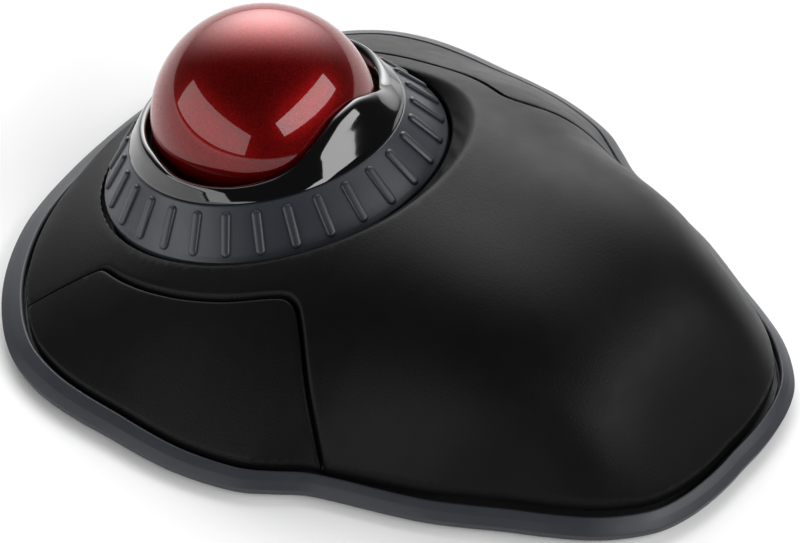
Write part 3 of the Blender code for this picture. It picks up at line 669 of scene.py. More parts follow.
class CopyTree(CopyingTree):
    """Copies of the incoming mesh round the local Z axis."""

    def __init__(self) -> None:
        """Build the tree: points, one copy on each, turned by its number."""
        super().__init__("copies_round_an_axis", {"Count": "Int", "Turn": "Float"})
        points, spin = self.add("GeometryNodePoints"), self.add("ShaderNodeCombineXYZ")
        angle = self.add("ShaderNodeMath")
        angle.operation = "MULTIPLY"
        self.link(self.source.outputs["Count"], points.inputs["Count"])
        self.link(self.add("GeometryNodeInputIndex").outputs[0], angle.inputs[0])
        self.link(self.source.outputs["Turn"], angle.inputs[1])
        self.link(angle.outputs[0], spin.inputs["Z"])
        self.link(points.outputs[0], self.copies.inputs["Points"])
        self.link(self.source.outputs["Geometry"], self.copies.inputs["Instance"])
        self.link(spin.outputs[0], self.copies.inputs["Rotation"])

    def run(self, mesh: bpy.types.Mesh, count: int, look: Look) -> bpy.types.Mesh:
        """Copy a mesh round the Z axis.

        Args:
            mesh: The mesh to copy, in the local frame.
            count: Number of copies, evenly spaced over a full turn.
            look: The finish of the copies.

        Returns:
            One plain mesh with every copy.
        """
        values = {"Count": count, "Turn": 2 * math.pi / count, "Material": look.material()}
        return evaluate(self.tree, mesh, values)


class ScatterTree(CopyingTree):
    """Copies of a pattern piece, one on each vertex of the incoming mesh."""

    def __init__(self) -> None:
        """Build the tree: the incoming vertices are the points, and the pattern piece is an input."""
        super().__init__("copies_on_points", {"Pattern": "Object"})
        pattern = self.add("GeometryNodeObjectInfo")
        self.link(self.source.outputs["Pattern"], pattern.inputs["Object"])
        self.link(self.source.outputs["Geometry"], self.copies.inputs["Points"])
        self.link(pattern.outputs["Geometry"], self.copies.inputs["Instance"])

    def run(self, pattern: bpy.types.Mesh, places: Sequence[Vector], look: Look) -> bpy.types.Mesh:
        """Set a copy of a mesh on each place.

        Args:
            pattern: The mesh to copy, round its own origin.
            places: Where each copy's origin goes.
            look: The finish of the copies.

        Returns:
            One plain mesh with every copy.
        """
        holder = placed("pattern", pattern)
        points = bpy.data.meshes.new("places")
        points.from_pydata([tuple(place) for place in places], [], [])
        made = evaluate(self.tree, points, {"Pattern": holder, "Material": look.material()})
        bpy.data.objects.remove(holder)
        return made


def evaluate(tree: bpy.types.NodeTree, mesh: bpy.types.Mesh, values: dict[str, object]) -> bpy.types.Mesh:
    """Run a Geometry Nodes tree on a mesh and keep the result as a plain mesh.

    Args:
        tree: The tree.
        mesh: The mesh that goes in.
        values: The tree's inputs, by name.

    Returns:
        The resulting mesh.
    """
    carrier = placed("carrier", mesh)
    change = carrier.modifiers.new("nodes", "NODES")
    change.node_group = tree
    for item in tree.interface.items_tree:
        if item.in_out == "INPUT" and item.name in values:
            change[item.identifier] = values[item.name]
    carrier.update_tag()
    graph = bpy.context.evaluated_depsgraph_get()
    made = bpy.data.meshes.new_from_object(carrier.evaluated_get(graph))
    carrier.modifiers.remove(change)
    bpy.data.objects.remove(carrier)
    return made


# ---------------------------------------------------------------- the case's form


@dataclass
class RingPlace:
    """The tilted axis that the ring, the collar and the ball share, read from the ring's joint."""

    joint: dict[str, object]
    opening: float = 31.6

    def __post_init__(self) -> None:
        """Read the axis."""
        self.centre = np.array(self.joint["pos_m"]) / MM
        axis = self.joint["axis"]
        self.tilt = math.atan2(axis[1], axis[2])
        self.matrix = Matrix.Translation(self.centre) @ Matrix.Rotation(-self.tilt, 4, "X")

    def plane(self, x: np.ndarray, y: np.ndarray) -> tuple[np.ndarray, np.ndarray]:
        """Height of the ring's foot plane over each place, and the distance from the axis there."""
        run = y - self.centre[1]
        height = self.centre[2] - run * math.tan(self.tilt)
        return height, np.hypot(x, run / math.cos(self.tilt))


@dataclass
class CaseForm:
    """The outline and the skin that the trim, the shell and the buttons share."""

    trim: bpy.types.Object
    ring: RingPlace
    edge_height: float = 4.9
    crest_height: float = 31.4
    crest_y: float = -1.5
    rear_fall: float = 2.05
    front_slope: float = 0.48
    front_blend: float = 19.3
    side_power_front: float = 1.45
    side_power_rear: float = 2.4
    nose_slope: float = 1.2
    nose_blend: float = 3.0
    scoop_floor: float = 0.4
    scoop_blend: float = 1.2
    channel_front: float = 0.65
    channel_rear: float = 1.1
    channel_start_y: float = -8.0
    channel_run: float = 30.0

    def __post_init__(self) -> None:
        """Read the trim's outlines and smooth them."""
        heights = sorted({round(vertex.co.z / MM, 2) for vertex in self.trim.data.vertices})
        self.outer = self._loop(heights[1])
        self.inner = self._loop(heights[2])
        right = self.inner[self.inner[:, 0] >= -1e-6]
        right = right[right[:, 1].argsort()]
        self._reach = right[:, 1], right[:, 0]
        self.rear = float(self.inner[:, 1].min())
        rearward = np.clip((self.channel_start_y - self.inner[:, 1]) / self.channel_run, 0.0, 1.0)
        channel = self.channel_front + (self.channel_rear - self.channel_front) * rearward
        self.edge = inset(self.inner, channel)
        self.opening = self._opening()

    def _loop(self, height: float) -> np.ndarray:
        """The smoothed outline of the trim at one of its heights, counter-clockwise from the front."""
        corners = [vertex.co / MM for vertex in self.trim.data.vertices]
        places = {(round(x, 3), round(y, 3)) for x, y, z in corners if abs(z - height) < 0.02}
        turn = {place: math.atan2(-place[0], place[1] + 1e-9) % (2 * math.pi) for place in places}
        corners = np.array(sorted(places, key=lambda place: round(turn[place], 6)))
        size = np.abs(corners).max(0)
        curve = smooth_curve(corners, 8, True)
        return curve * np.minimum(size / np.abs(curve).max(0), 1.0)

    def _opening(self) -> np.ndarray:
        """The plan of the skin's edge round the ring."""
        angles = np.linspace(0.0, 2 * math.pi, 480, endpoint=False)
        x = self.ring.opening * np.cos(angles)
        along = self.ring.opening * np.sin(angles) * math.cos(self.ring.tilt)
        lean = math.sin(self.ring.tilt)
        y = self.ring.centre[1] + along
        for _ in range(6):
            plane, _radius = self.ring.plane(x, y)
            up = (self.skin(x, y) - plane) * math.cos(self.ring.tilt)
            y = self.ring.centre[1] + along + up * lean
        return np.column_stack([x, y])

    def bare(self, x: np.ndarray, y: np.ndarray) -> np.ndarray:
        """Height of the skin as if there were no scoop round the ring."""
        back = np.clip((self.crest_y - y) / (self.crest_y - self.rear), 0.0, 1.0)
        rise = self.crest_height - self.edge_height
        fall = self.edge_height + rise * np.cos(math.pi / 2 * back ** self.rear_fall)
        slope = np.hypot(y - self.crest_y, self.front_blend) - self.front_blend
        crest = np.where(y < self.crest_y, fall, self.crest_height - self.front_slope * slope)
        half = np.maximum(np.interp(y, *self._reach), 0.1)
        side = np.minimum(np.abs(x) / half, 1.0)
        power = self.side_power_front + (self.side_power_rear - self.side_power_front) * back
        height = self.edge_height + (crest - self.edge_height) * np.cos(math.pi / 2 * side ** power)
        return least(height, self.edge_height + (y - self.rear) * self.nose_slope, self.nose_blend)

    def scoop(self, x: np.ndarray, y: np.ndarray) -> np.ndarray:
        """Height of the hollow that the ring lies in."""
        plane, radius = self.ring.plane(x, y)
        return plane + self.scoop_floor + np.maximum(radius - self.ring.opening, 0.0)

    def skin(self, x: np.ndarray, y: np.ndarray) -> np.ndarray:
        """Height of the palm shell's outer skin."""
        return least(self.bare(x, y), self.scoop(x, y), self.scoop_blend)

    def least_skin(self, x: float, y: float, radius: float) -> float:
        """The skin's least height round a boss or post."""
        turns = np.linspace(0.0, 2 * math.pi, 12, endpoint=False)
        return float(self.skin(x + radius * np.cos(turns), y + radius * np.sin(turns)).min())


@dataclass(frozen=True)
class Lip:
    """An edge of a sheet, with how far its corner is rounded."""

    line: np.ndarray
    closed: bool
    radius: Callable[[np.ndarray], np.ndarray]


@dataclass
class PlanSheet:
    """A curved wall of even thickness over a plan region, with rounded lips."""

    form: CaseForm
    outline: np.ndarray
    hole: np.ndarray | None
    lips: Sequence[Lip]
    wall: float
    turns: Sequence[float] = (18.0, 36.0, 54.0, 72.0, 90.0)
    coarse: tuple[float, float] = (1.1, 0.95)
    fine: tuple[float, float] = (0.42, 0.75)
    fine_reach: float = 1.5

    @property
    def _loops(self) -> list[np.ndarray]:
        """The region's outer edge and, where there is one, its opening's."""
        return [self.outline] if self.hole is None else [self.outline, self.hole]

    def _inside(self, points: np.ndarray) -> np.ndarray:
        """Which points lie in the region."""
        inside = within(points, self.outline)
        return inside & ~within(points, self.hole) if self.hole is not None else inside

    def _margin(self, points: np.ndarray) -> np.ndarray:
        """Distance to the nearest edge."""
        return np.min([distance_to(points, loop, True) for loop in self._loops], axis=0)

    def _rows(self) -> np.ndarray:
        """Points in rows beside each lip, where its rounding needs them."""
        rows = []
        for lip in self.lips:
            line = even(lip.line, 0.5, lip.closed)
            side = side_of(line, lip.closed)
            for turn in np.radians(self.turns):
                away = lip.radius(line) * (1.0 - math.cos(turn))
                for sign in (1.0, -1.0):
                    row = line + side * (sign * away)[:, None]
                    keep = self._inside(row)
                    row, away_kept = row[keep], away[keep]
                    rows.append(row[self._margin(row) > away_kept * 0.96])
        return np.vstack(rows)

    def _fill(self) -> np.ndarray:
        """Points over the rest of the region, closer together along the scoop's crest."""
        parts = []
        low, high = self.outline.min(0), self.outline.max(0)
        for (spacing, margin), fine in ((self.coarse, False), (self.fine, True)):
            xs, ys = np.arange(low[0], high[0], spacing), np.arange(low[1], high[1], spacing * 0.866)
            x, y = np.meshgrid(xs, ys)
            x[1::2] += spacing / 2
            points = np.column_stack([x.ravel(), y.ravel()])
            gap = self.form.bare(*points.T) - self.form.scoop(*points.T)
            points = points[(np.abs(gap - 0.2) < self.fine_reach) == fine]
            points = points[self._inside(points)]
            parts.append(points[self._margin(points) > margin])
        return np.vstack(parts)

    def _drop(self, points: np.ndarray) -> np.ndarray:
        """How far the skin is lowered by its rounded lips."""
        drop = np.zeros(len(points))
        for lip in self.lips:
            radius = lip.radius(points)
            left = radius - np.minimum(distance_to(points, lip.line, lip.closed), radius)
            drop = np.maximum(drop, radius - np.sqrt(np.maximum(radius ** 2 - left ** 2, 0.0)))
        return drop

    def build(self) -> Form:
        """Fill the region with triangles and raise them to the skin.

        Returns:
            The closed sheet.
        """
        edges, start = [], 0
        for loop in self._loops:
            edges += [(start + index, start + (index + 1) % len(loop)) for index in range(len(loop))]
            start += len(loop)
        points = np.vstack([*self._loops, self._rows(), self._fill()])
        places, _, triangles, *_ = delaunay_2d_cdt([Vector(point) for point in points], edges, [], 0, 1e-5)
        plan = np.array([tuple(place) for place in places])
        triangles = np.array([tuple(triangle) for triangle in triangles])
        triangles = triangles[self._inside(plan[triangles].mean(1))]
        skin = self.form.skin(*plan.T)
        count = len(plan)
        upper = np.column_stack([plan, skin - self._drop(plan)])
        lower = np.column_stack([plan, skin - self.wall])
        sides = np.vstack([triangles[:, pair] for pair in ([0, 1], [1, 2], [2, 0])])
        keys = np.sort(sides, axis=1) @ np.array([count, 1])
        _, first, times = np.unique(keys, return_index=True, return_counts=True)
        rim = sides[first[times == 1]]
        faces = [tuple(face) for face in triangles] + [tuple(face[::-1] + count) for face in triangles]
        faces += [(b, a, a + count, b + count) for a, b in rim]
        used = np.zeros(2 * count, bool)
        used[np.unique(np.concatenate([np.asarray(face) for face in faces]))] = True
        number = np.cumsum(used) - 1
        return Form(np.vstack([upper, lower])[used], [tuple(number[list(face)].tolist()) for face in faces])


@dataclass
class PalmShell:
    """The palm shell and the two buttons, parted by a pair of mirrored seams."""

    form: CaseForm
    seam_points: Profile = (
        (54.6, 61.6), (45.8, 52.2), (36.4, 41.9), (35.5, 40.8), (35.4, 39.4), (36.4, 35.6), (37.0, 30.0),
        (36.8, 23.5), (35.8, 16.6), (34.3, 11.3), (31.8, 5.4), (31.2, 3.2), (31.9, 0.8),
        (34.4, -2.0), (40.0, -7.6), (45.1, -14.5), (50.5, -22.0),
    )
    seam_gap: tuple[float, float] = (0.36, 0.60)
    seam_lip: tuple[float, float] = (0.28, 0.70)
    front_run_y: float = 43.0
    front_run_fade: float = 4.0
    edge_lip: float = 0.42
    opening_lip: float = 0.4
    shell_wall: float = 2.2
    button_wall: float = 1.8
    backing: Profile = ((-0.9, 2.15), (0.32, 2.25), (0.32, 3.1), (-0.9, 3.1))
    backing_above: float = 6.6
    bosses: Sequence[str] = ("front_left", "front_right", "middle_left", "middle_right", "rear_left",
                             "rear_right")

    def __post_init__(self) -> None:
        """Trace the seams."""
        seam = smooth_curve(np.array(self.seam_points), 24, False)
        self.seam = eased(even(seam, 0.3, False), 9)
        gap = self._along(self.seam, self.seam_gap)
        self.button_seam = eased(self.seam + side_of(self.seam, False) * gap[:, None], 9)

    def _along(self, points: np.ndarray, sizes: tuple[float, float]) -> np.ndarray:
        """A size that is the first one along the seam's front run, and the second one elsewhere."""
        share = np.clip((self.front_run_y - points[:, 1]) / self.front_run_fade, 0.0, 1.0)
        return sizes[0] + (sizes[1] - sizes[0]) * share * share * (3.0 - 2.0 * share)

    def _edge(self, line: np.ndarray, radius: float) -> Lip:
        """A closed edge with the same rounding all along."""
        return Lip(line, True, lambda points: np.full(len(points), radius))

    def _side(self, seam: np.ndarray) -> Lip:
        """One side of a seam, with its rounding finer along the front run."""
        return Lip(seam, False, lambda points: self._along(points, self.seam_lip))

    def _cut(self, seam: np.ndarray) -> np.ndarray:
        """The part of a seam that lies within the skin's edge."""
        return seam[within(seam, self.form.edge)]

    def shell(self) -> bpy.types.Object:
        """Build the palm shell with its screw bosses.

        Returns:
            The finished piece.
        """
        edge, right = self.form.edge, self._cut(self.seam)
        left = right * (-1.0, 1.0)
        outline = np.vstack([between(edge, right[0], left[0]), left,
                             between(edge, left[-1], right[-1]), right[::-1]])
        lips = [self._edge(edge, self.edge_lip), self._edge(self.form.opening, self.opening_lip),
                self._side(right), self._side(left)]
        body = PlanSheet(self.form, outline, self.form.opening, lips, self.shell_wall).build()
        for place in self.bosses:
            body = body + self._boss(f"case_screw_{place}")
        for line in (right, left):
            body = body + self._backing(line)
        return piece(body, "palm_shell", Look.SOFT_TOUCH, "case", ["top_shell"])

    def _backing(self, seam: np.ndarray) -> Form:
        """A strip under the shell's wall that closes the view down through a seam's gap."""
        seam = seam[self.form.skin(*seam.T) > self.backing_above]
        sign = math.copysign(1.0, seam[0, 0])
        side = side_of(seam, False) * sign
        rows = []
        for away, drop in self.backing:
            line = seam + side * away
            rows.append(np.column_stack([line, self.form.skin(*line.T) - drop]))
        return rows_of(np.array(rows).transpose(1, 0, 2), False, capped=True)

    def _boss(self, screw: str) -> Form:
        """A screw boss that hangs from the wall over one of the case's screws."""
        x, y, tip = over(screw)
        top, tip = self.form.least_skin(x, y, 2.5) - 0.6, tip + 0.3
        profile = [(0.0, tip), (1.4, tip), (1.4, 2.9), (2.3, 2.9), (2.5, 3.1), (2.5, top), (0.0, top)]
        return turned(profile, 40, joined=False).moved(Matrix.Translation((x, y, 0.0)))

    def buttons(self) -> list[bpy.types.Object]:
        """Build both buttons with the posts that reach down to the switches.

        Returns:
            The finished pieces.
        """
        made = []
        edge, seam = self.form.edge, self._cut(self.button_seam)
        outline = np.vstack([between(edge, seam[-1], seam[0]), seam])
        for name, sign in (("right_button", 1.0), ("left_button", -1.0)):
            mirror = np.array([sign, 1.0])
            loop = outline * mirror if sign > 0 else (outline * mirror)[::-1]
            lips = [self._edge(edge, self.edge_lip), self._side(seam * mirror)]
            body = PlanSheet(self.form, loop, None, lips, self.button_wall).build()
            x, y, base = over(f"{name.split('_')[0]}_switch_plunger")
            base, top = base + 0.3, self.form.least_skin(x, y, 1.5) - 0.6
            profile = [(0.0, base), (1.2, base), (1.5, base + 0.3), (1.5, top), (0.0, top)]
            post = turned(profile, 32, joined=False)
            body = body + post.moved(Matrix.Translation((x, y, 0.0)))
            made.append(piece(body, f"{name}_cap", Look.SOFT_TOUCH, name, [name]))
        return made


@dataclass
class TrimBand:
    """The sloping satin band round the foot of the case."""

    form: CaseForm

    @staticmethod
    def _section(width: float) -> list[tuple[float, float]]:
        """The band's section: distance inwards from the outline, and height."""
        return fillet([(0.5, 0.8, 0.25), (0.0, 2.4, 0.2), (width * 0.40, 3.6, 2.0),
                       (width - 0.45, 4.7, 0.35), (width, 4.42, 0.25), (width, 2.5, 0.0),
                       (width + 0.28, 2.4, 0.0), (width + 0.28, 0.9, 0.0), (width, 0.8, 0.1)], 7)

    def build(self) -> bpy.types.Object:
        """Sweep the section round the outline.

        Returns:
            The finished piece.
        """
        rows = []
        for outer, inner in zip(self.form.outer, self.form.inner):
            across = inner - outer
            width = float(np.linalg.norm(across))
            rows.append([(*(outer + across * (away / width)), height)
                         for away, height in self._section(width)])
        return piece(rows_of(np.array(rows), True), "trim_ring", Look.TRIM_SATIN, "case",
                     ["trim_band"], sharp=55.0)


@dataclass
class ScrollRing:
    """The tapered ring and the pill-shaped ribs that stand on it."""

    place: RingPlace
    copies: CopyTree
    foot: tuple[float, float] = (30.9, 0.0)
    top: tuple[float, float] = (24.8, 7.6)
    rib_count: int = 30
    rib_length: float = 7.9
    rib_width: float = 1.75
    rib_rise: float = 0.6
    rib_root: float = 0.5
    rib_start: float = -1.8

    def body(self) -> bpy.types.Object:
        """Build the ring.

        Returns:
            The finished piece.
        """
        profile = fillet([(23.3, 7.6, 0.2), (24.75, 7.6, 0.45), (30.2, 0.86, 0.5), (30.9, 0.1, 0.45),
                          (30.9, -1.6, 0.2), (29.4, -1.6, 0.0), (29.4, -0.6, 0.3), (24.8, 5.0, 0.0),
                          (24.8, -1.8, 0.2), (23.3, -1.8, 0.2)], 7)
        form = turned(profile, 288).moved(self.place.matrix)
        return piece(form, "scroll_ring_body", Look.RING_SATIN, "ring", ["scroll_ring"])

    def _rib(self) -> Form:
        """One domed rib on the ring's face, at angle 0 of the ring's own frame."""
        half = self.rib_width / 2
        reach = self.rib_length / 2 - half
        angles = np.linspace(0.0, 2 * math.pi, 32, endpoint=False)
        rows = []
        for turn in np.radians([0.0, 16.0, 32.0, 48.0, 64.0, 78.0, 90.0]):
            size, rise = math.sin(turn), math.cos(turn) ** 0.7 * self.rib_rise
            rows.append(np.column_stack([np.sign(np.cos(angles)) * reach + half * size * np.cos(angles),
                                         half * size * np.sin(angles), np.full(32, rise)]))
        rows.append(rows[-1] - (0.0, 0.0, self.rib_root))
        form = rows_of(np.array(rows), False, capped=True)
        slope = np.subtract(self.top, self.foot)
        lean = math.atan2(slope[1], slope[0])
        middle = self.foot + slope * 0.5
        turn = Matrix.Rotation(-lean + math.pi, 4, "Y") @ Matrix.Rotation(math.pi, 4, "Z")
        return form.moved(Matrix.Translation((middle[0], 0.0, middle[1])) @ turn)

    def ribs(self) -> bpy.types.Object:
        """Copy the rib round the ring.

        Returns:
            The finished piece.
        """
        made = self.copies.run(self._rib().mesh("rib"), self.rib_count, Look.RING_SATIN)
        place = self.place.matrix @ Matrix.Rotation(math.radians(self.rib_start), 4, "Z")
        place.translation *= MM
        made.transform(place)
        return piece(made, "scroll_ring_ribs", Look.RING_SATIN, "ring")


@dataclass
class BallSocket:
    """The ball and the glossy collar that it sits in.

    lip_rows holds the lip's angle from the rear in degrees, its radius and its height.
    """

    place: RingPlace
    ball_radius: float = 20.0
    ball_lift: float = 8.9
    clearance: float = 0.6
    plain_lip: float = 21.6
    foot_radius: float = 24.6
    foot_height: float = 7.9
    lip_base: float = 8.0
    lip_depth: float = 4.0
    lip_rows: Sequence[tuple[float, float, float]] = (
        (0, 19.6, 15.8), (9, 19.7, 15.6), (16, 20.2, 14.6), (22, 20.6, 13.6), (30, 20.7, 12.0),
        (37, 20.7, 10.8), (45, 20.95, 10.1), (55, 21.9, 9.9), (65, 22.7, 10.0), (75, 23.35, 10.5),
        (85, 23.3, 10.9), (95, 22.8, 11.1), (105, 21.8, 11.5), (115, 21.2, 11.7), (180, 21.1, 11.8),
    )

    def ball(self) -> bpy.types.Object:
        """Build the ball.

        Returns:
            The finished piece.
        """
        low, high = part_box("ball")
        centre, radius = (low + high) / 2 / MM, (high.x - low.x) / 2 / MM
        turns = np.linspace(-math.pi / 2, math.pi / 2, 129)
        profile = [(radius * math.cos(turn), radius * math.sin(turn)) for turn in turns]
        form = turned(profile, 256, joined=False).moved(Matrix.Translation(centre))
        return piece(form, "trackball", Look.BALL_CANDY, "ball", ["ball"], sharp=180.0)

    def _shape(self, points: np.ndarray) -> np.ndarray:
        """Move the plain collar's points so that its lip follows lip_rows, clear of the ball."""
        radius, height = np.hypot(points[:, 0], points[:, 1]), points[:, 2]
        turns = np.arange(-40.0, 221.0, 1.0)
        weight = np.hanning(13)
        folded = np.where(turns > 180.0, 360.0 - turns, np.abs(turns))
        places, *sizes = np.array(self.lip_rows).T
        lip = [np.convolve(np.interp(folded, places, row), weight / weight.sum(), "same") for row in sizes]
        angle = np.degrees(np.arccos(np.clip(-points[:, 1] / radius, -1.0, 1.0)))
        lip_radius, lip_height = (np.interp(angle, turns, row) for row in lip)
        share = (height - self.lip_base) / self.lip_depth
        across = (radius - self.plain_lip) / (self.foot_radius - self.plain_lip)
        outside = lip_radius + across * (self.foot_radius - lip_radius)
        rise = np.clip((height - self.foot_height) / 0.4, 0.0, 1.0)
        moved = np.where(across > 0.0, radius + rise * (outside - radius),
                         radius + np.clip(share, 0.0, 1.0) * (lip_radius - self.plain_lip))
        height = np.where(share > 0.0, self.lip_base + share * (lip_height - self.lip_base), height)
        clear = (self.ball_radius + self.clearance) ** 2 - (height - self.ball_lift) ** 2
        scale = np.maximum(moved, np.sqrt(np.maximum(clear, 0.0))) / radius
        return np.column_stack([points[:, 0] * scale, points[:, 1] * scale, height])

    def collar(self) -> bpy.types.Object:
        """Build the collar.

        Returns:
            The finished piece.
        """
        wall = smooth_curve(np.array([
            (20.7, 9.0), (20.78, 10.4), (21.1, 11.5), (21.6, 11.95), (22.15, 11.88), (22.7, 11.3),
            (23.3, 10.3), (23.9, 9.25), (24.4, 8.35)]), 6, False)
        profile = [*map(tuple, wall), (24.55, 7.9), (23.0, 7.9), (23.0, 7.3), (21.0, 7.3), (20.8, 8.2)]
        form = turned(profile, 480, self._shape).moved(self.place.matrix)
        return piece(form, "socket_collar_gloss", Look.COLLAR_GLOSS, "case",
                     ["socket_collar"])


@dataclass
class Underside:
    """The feet, the screws and the battery door under the case."""

    scatter: ScatterTree
    rows: Sequence[str] = ("front", "middle", "rear")
    sides: Sequence[str] = ("left", "right")
    door_corner: float = 2.0
    door_lip: float = 0.25
    grip_ribs: int = 6
    grip_pitch: float = 1.6
    grip_inset: float = 4.0

    @staticmethod
    def _middle(node: str) -> Vector:
        """The place under the middle of a frame node, at the desk."""
        x, y, _top = over(node)
        return Vector((x * MM, y * MM, 0.0))

    def feet(self) -> bpy.types.Object:
        """Build the rubber feet.

        Returns:
            The finished piece.
        """
        names = [f"foot_{place}_{side}" for place in self.rows for side in self.sides]
        profile = [(0.0, 0.12), (3.35, 0.12), (3.5, 0.02), (3.6, 0.0), (4.55, 0.0), (4.8, 0.06),
                   (4.95, 0.22), (5.0, 0.45), (5.0, 1.2), (0.0, 1.2)]
        pattern = turned(profile, 72, joined=False).mesh("foot")
        made = self.scatter.run(pattern, [self._middle(name) for name in names], Look.FOOT_RUBBER)
        return piece(made, "rubber_feet", Look.FOOT_RUBBER, "case", names)

    def screws(self) -> bpy.types.Object:
        """Build the slotted pan-head screws.

        Returns:
            The finished piece.
        """
        names = [f"case_screw_{place}_{side}" for place in self.rows for side in self.sides]
        names += [f"{kind}_screw_{place}" for kind in ("cup", "carrier") for place in (*self.sides, "front")]
        profile = [(0.0, 1.35), (1.0, 1.35), (1.0, 0.9), (1.65, 0.9), (2.0, 0.98), (2.2, 1.2), (2.2, 1.8),
                   (1.1, 1.8), (1.1, 5.4), (0.9, 5.8), (0.0, 5.8)]

        def slot(points: np.ndarray) -> np.ndarray:
            """Draw the middle rows in to a straight slot."""
            radius = np.hypot(points[:, 0], points[:, 1])
            recess = np.abs(radius - 1.0) < 1e-6
            turn = np.arctan2(points[:, 1], points[:, 0])
            reach = np.minimum(1.5 / np.maximum(np.abs(np.cos(turn)), 1e-6),
                               0.3 / np.maximum(np.abs(np.sin(turn)), 1e-6))
            scale = np.where(recess, reach, 1.0)
            return points * np.column_stack([scale, scale, np.ones(len(points))])

        pattern = turned(profile, 96, slot, joined=False).mesh("screw")
        made = self.scatter.run(pattern, [self._middle(name) for name in names], Look.SCREW_STEEL)
        return piece(made, "case_screws", Look.SCREW_STEEL, "case", names, sharp=30.0)

    def door(self) -> list[bpy.types.Object]:
        """Build the battery door and the ribs of its finger grip.

        Returns:
            The finished pieces.
        """
        low, high = (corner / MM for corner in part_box("battery_door"))
        corners = [(x, y, self.door_corner) for x, y in ((low.x, low.y), (high.x, low.y), (high.x, high.y),
                                                         (low.x, high.y))]
        plate = slab(fillet(corners, 8), low.z, high.z, self.door_lip)
        door = piece(plate, "battery_door_panel", Look.UNDERSIDE, "door", ["battery_door"])
        ends = [(x, y, 0.34) for x, y in ((-6.0, -0.35), (6.0, -0.35), (6.0, 0.35), (-6.0, 0.35))]
        rib = slab(fillet(ends, 5), 0.82, 1.1, 0.12)
        places = [Vector((0.0, (high.y - self.grip_inset - self.grip_pitch * index) * MM, 0.0))
                  for index in range(self.grip_ribs)]
        made = self.scatter.run(rib.mesh("grip"), places, Look.UNDERSIDE)
        return [door, piece(made, "battery_door_grip", Look.UNDERSIDE, "door")]


class Inside:
    """The frame's own pieces that stay: base, cup, boards, switches and cells."""

    LOOKS = {
        Look.UNDERSIDE: ("base_plate",),
        Look.INNER: ("ball_cup", "ring_carrier", "ring_code_wheel", "battery_tray", "mode_switch_body",
                     "left_switch_body", "right_switch_body"),
        Look.CERAMIC: ("support_bearing_front", "support_bearing_left", "support_bearing_right"),
        Look.LENS: ("sensor_lens",),
        Look.COLLAR_GLOSS: ("motion_sensor", "ring_sensor", "radio_chip"),
        Look.BOARD: ("sensor_board", "ring_sensor_board", "main_board"),
        Look.SWITCH_WHITE: ("left_switch_plunger", "right_switch_plunger", "mode_switch_knob"),
        Look.CELL_WRAP: ("battery_front", "battery_rear"),
        Look.SCREW_STEEL: ("positive_contact_front", "negative_contact_front", "positive_contact_rear",
                           "negative_contact_rear"),
    }

    def dress(self) -> None:
        """Give each frame piece its finish."""
        for look, names in self.LOOKS.items():
            for name in names:
                materials = frame["nodes"][name].data.materials
                materials.clear()
                materials.append(look.material())
            log.info("%s: %d frame pieces", look.name.lower(), len(names))


# ---------------------------------------------------------------- setting


@dataclass(frozen=True)
class Softbox:
    """A soft light: where it stands, how large and how strong it is."""

    name: str
    place: tuple[float, float, float]
    size: tuple[float, float]
    power: float

    def build(self) -> None:
        """Set the light up, aimed at the device."""
        light = bpy.data.lights.new(self.name, "AREA")
        light.shape = "RECTANGLE"
        light.size, light.size_y = self.size
        light.energy = self.power
        stand = placed(self.name, light)
        stand.location = self.place
        stand.rotation_mode = "QUATERNION"
        stand.rotation_quaternion = Vector(self.place).to_track_quat("Z", "Y")


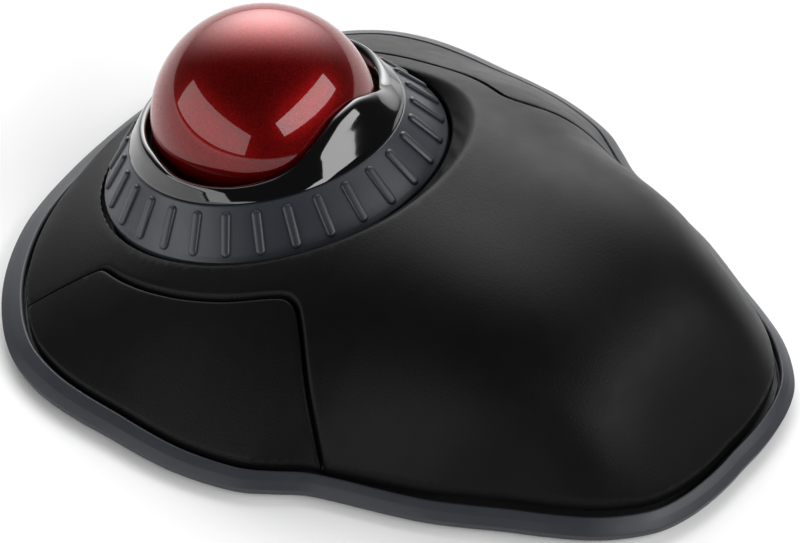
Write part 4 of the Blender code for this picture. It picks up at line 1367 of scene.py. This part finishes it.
@dataclass
class Studio:
    """A pale floor, soft lights and the camera."""

    lights: Sequence[Softbox] = (
        Softbox("window_rear", (0.125, -0.95, 0.722), (1.8, 0.42), 13.0),
        Softbox("panel_left", (-0.95, 0.42, 0.34), (2.0, 0.56), 9.0),
    )
    glow: tuple[float, float, float] = (0.711, 0.525, 0.467)
    glow_start: float = 0.45
    glow_fall: float = 4.2
    glow_strength: float = 7.0
    dimmest: float = 0.03
    floor_reach: float = 4.0
    eye: tuple[float, float, float] = (-0.43153, -0.31513, 0.52046)
    back: tuple[float, float, float] = (-0.5808, -0.4283, 0.6922)
    focal_length: float = 191.09

    def floor(self) -> None:
        """Lay the floor."""
        mesh = bpy.data.meshes.new("floor")
        reach = self.floor_reach
        corners = [(-reach, -reach, 0), (reach, -reach, 0), (reach, reach, 0), (-reach, reach, 0)]
        mesh.from_pydata(corners, [], [(0, 1, 2, 3)])
        ground = placed("floor", mesh)
        recipe = Recipe("floor_paper")
        recipe.set(Roughness=0.9, Specular_IOR_Level=0.1, Base_Color=(0.95, 0.95, 0.95, 1.0))
        mesh.materials.append(recipe.material)

    def light(self) -> None:
        """Set up the lights and the sky."""
        for softbox in self.lights:
            softbox.build()
        world = bpy.data.worlds.new("studio")
        world.use_nodes = True
        nodes, links = world.node_tree.nodes, world.node_tree.links
        place, facing = nodes.new("ShaderNodeTexCoord"), nodes.new("ShaderNodeVectorMath")
        facing.operation = "DOT_PRODUCT"
        facing.inputs[1].default_value = self.glow
        links.new(place.outputs["Generated"], facing.inputs[0])
        glow = nodes.new("ShaderNodeMapRange")
        glow.inputs["From Min"].default_value, glow.inputs["From Max"].default_value = self.glow_start, 1.0
        links.new(facing.outputs["Value"], glow.inputs["Value"])
        fall = nodes.new("ShaderNodeMath")
        fall.operation = "POWER"
        fall.inputs[1].default_value = self.glow_fall
        links.new(glow.outputs["Result"], fall.inputs[0])
        level = nodes.new("ShaderNodeMath")
        level.operation = "MULTIPLY_ADD"
        level.inputs[1].default_value, level.inputs[2].default_value = self.glow_strength, self.dimmest
        links.new(fall.outputs[0], level.inputs[0])
        nodes["Background"].inputs["Color"].default_value = (1.0, 1.0, 1.0, 1.0)
        links.new(level.outputs[0], nodes["Background"].inputs["Strength"])
        bpy.context.scene.world = world
        bpy.context.scene.view_settings.view_transform = "Standard"

    def camera(self) -> None:
        """Set up the camera."""
        lens = bpy.data.cameras.new("camera")
        lens.lens, lens.sensor_width = self.focal_length, 36.0
        lens.clip_start, lens.clip_end = 0.01, 20.0
        stand = placed("camera", lens)
        stand.location = self.eye
        stand.rotation_mode = "QUATERNION"
        stand.rotation_quaternion = Vector(self.back).to_track_quat("Z", "Y")
        bpy.context.scene.camera = stand


def main() -> None:
    """Build every piece in order, then the setting."""
    logging.basicConfig(level=logging.INFO, format="%(message)s")
    ring = RingPlace(next(joint for joint in frame["joints"] if joint["name"] == "ring_spin"))
    form = CaseForm(frame["nodes"]["trim_band"], ring)
    Inside().dress()
    shell = PalmShell(form)
    shell.shell()
    shell.buttons()
    TrimBand(form).build()
    scroll = ScrollRing(ring, CopyTree())
    scroll.body()
    scroll.ribs()
    socket = BallSocket(ring)
    socket.collar()
    socket.ball()
    under = Underside(ScatterTree())
    under.feet()
    under.screws()
    under.door()
    studio = Studio()
    studio.floor()
    studio.light()
    studio.camera()


if __name__ == "__main__":
    main()
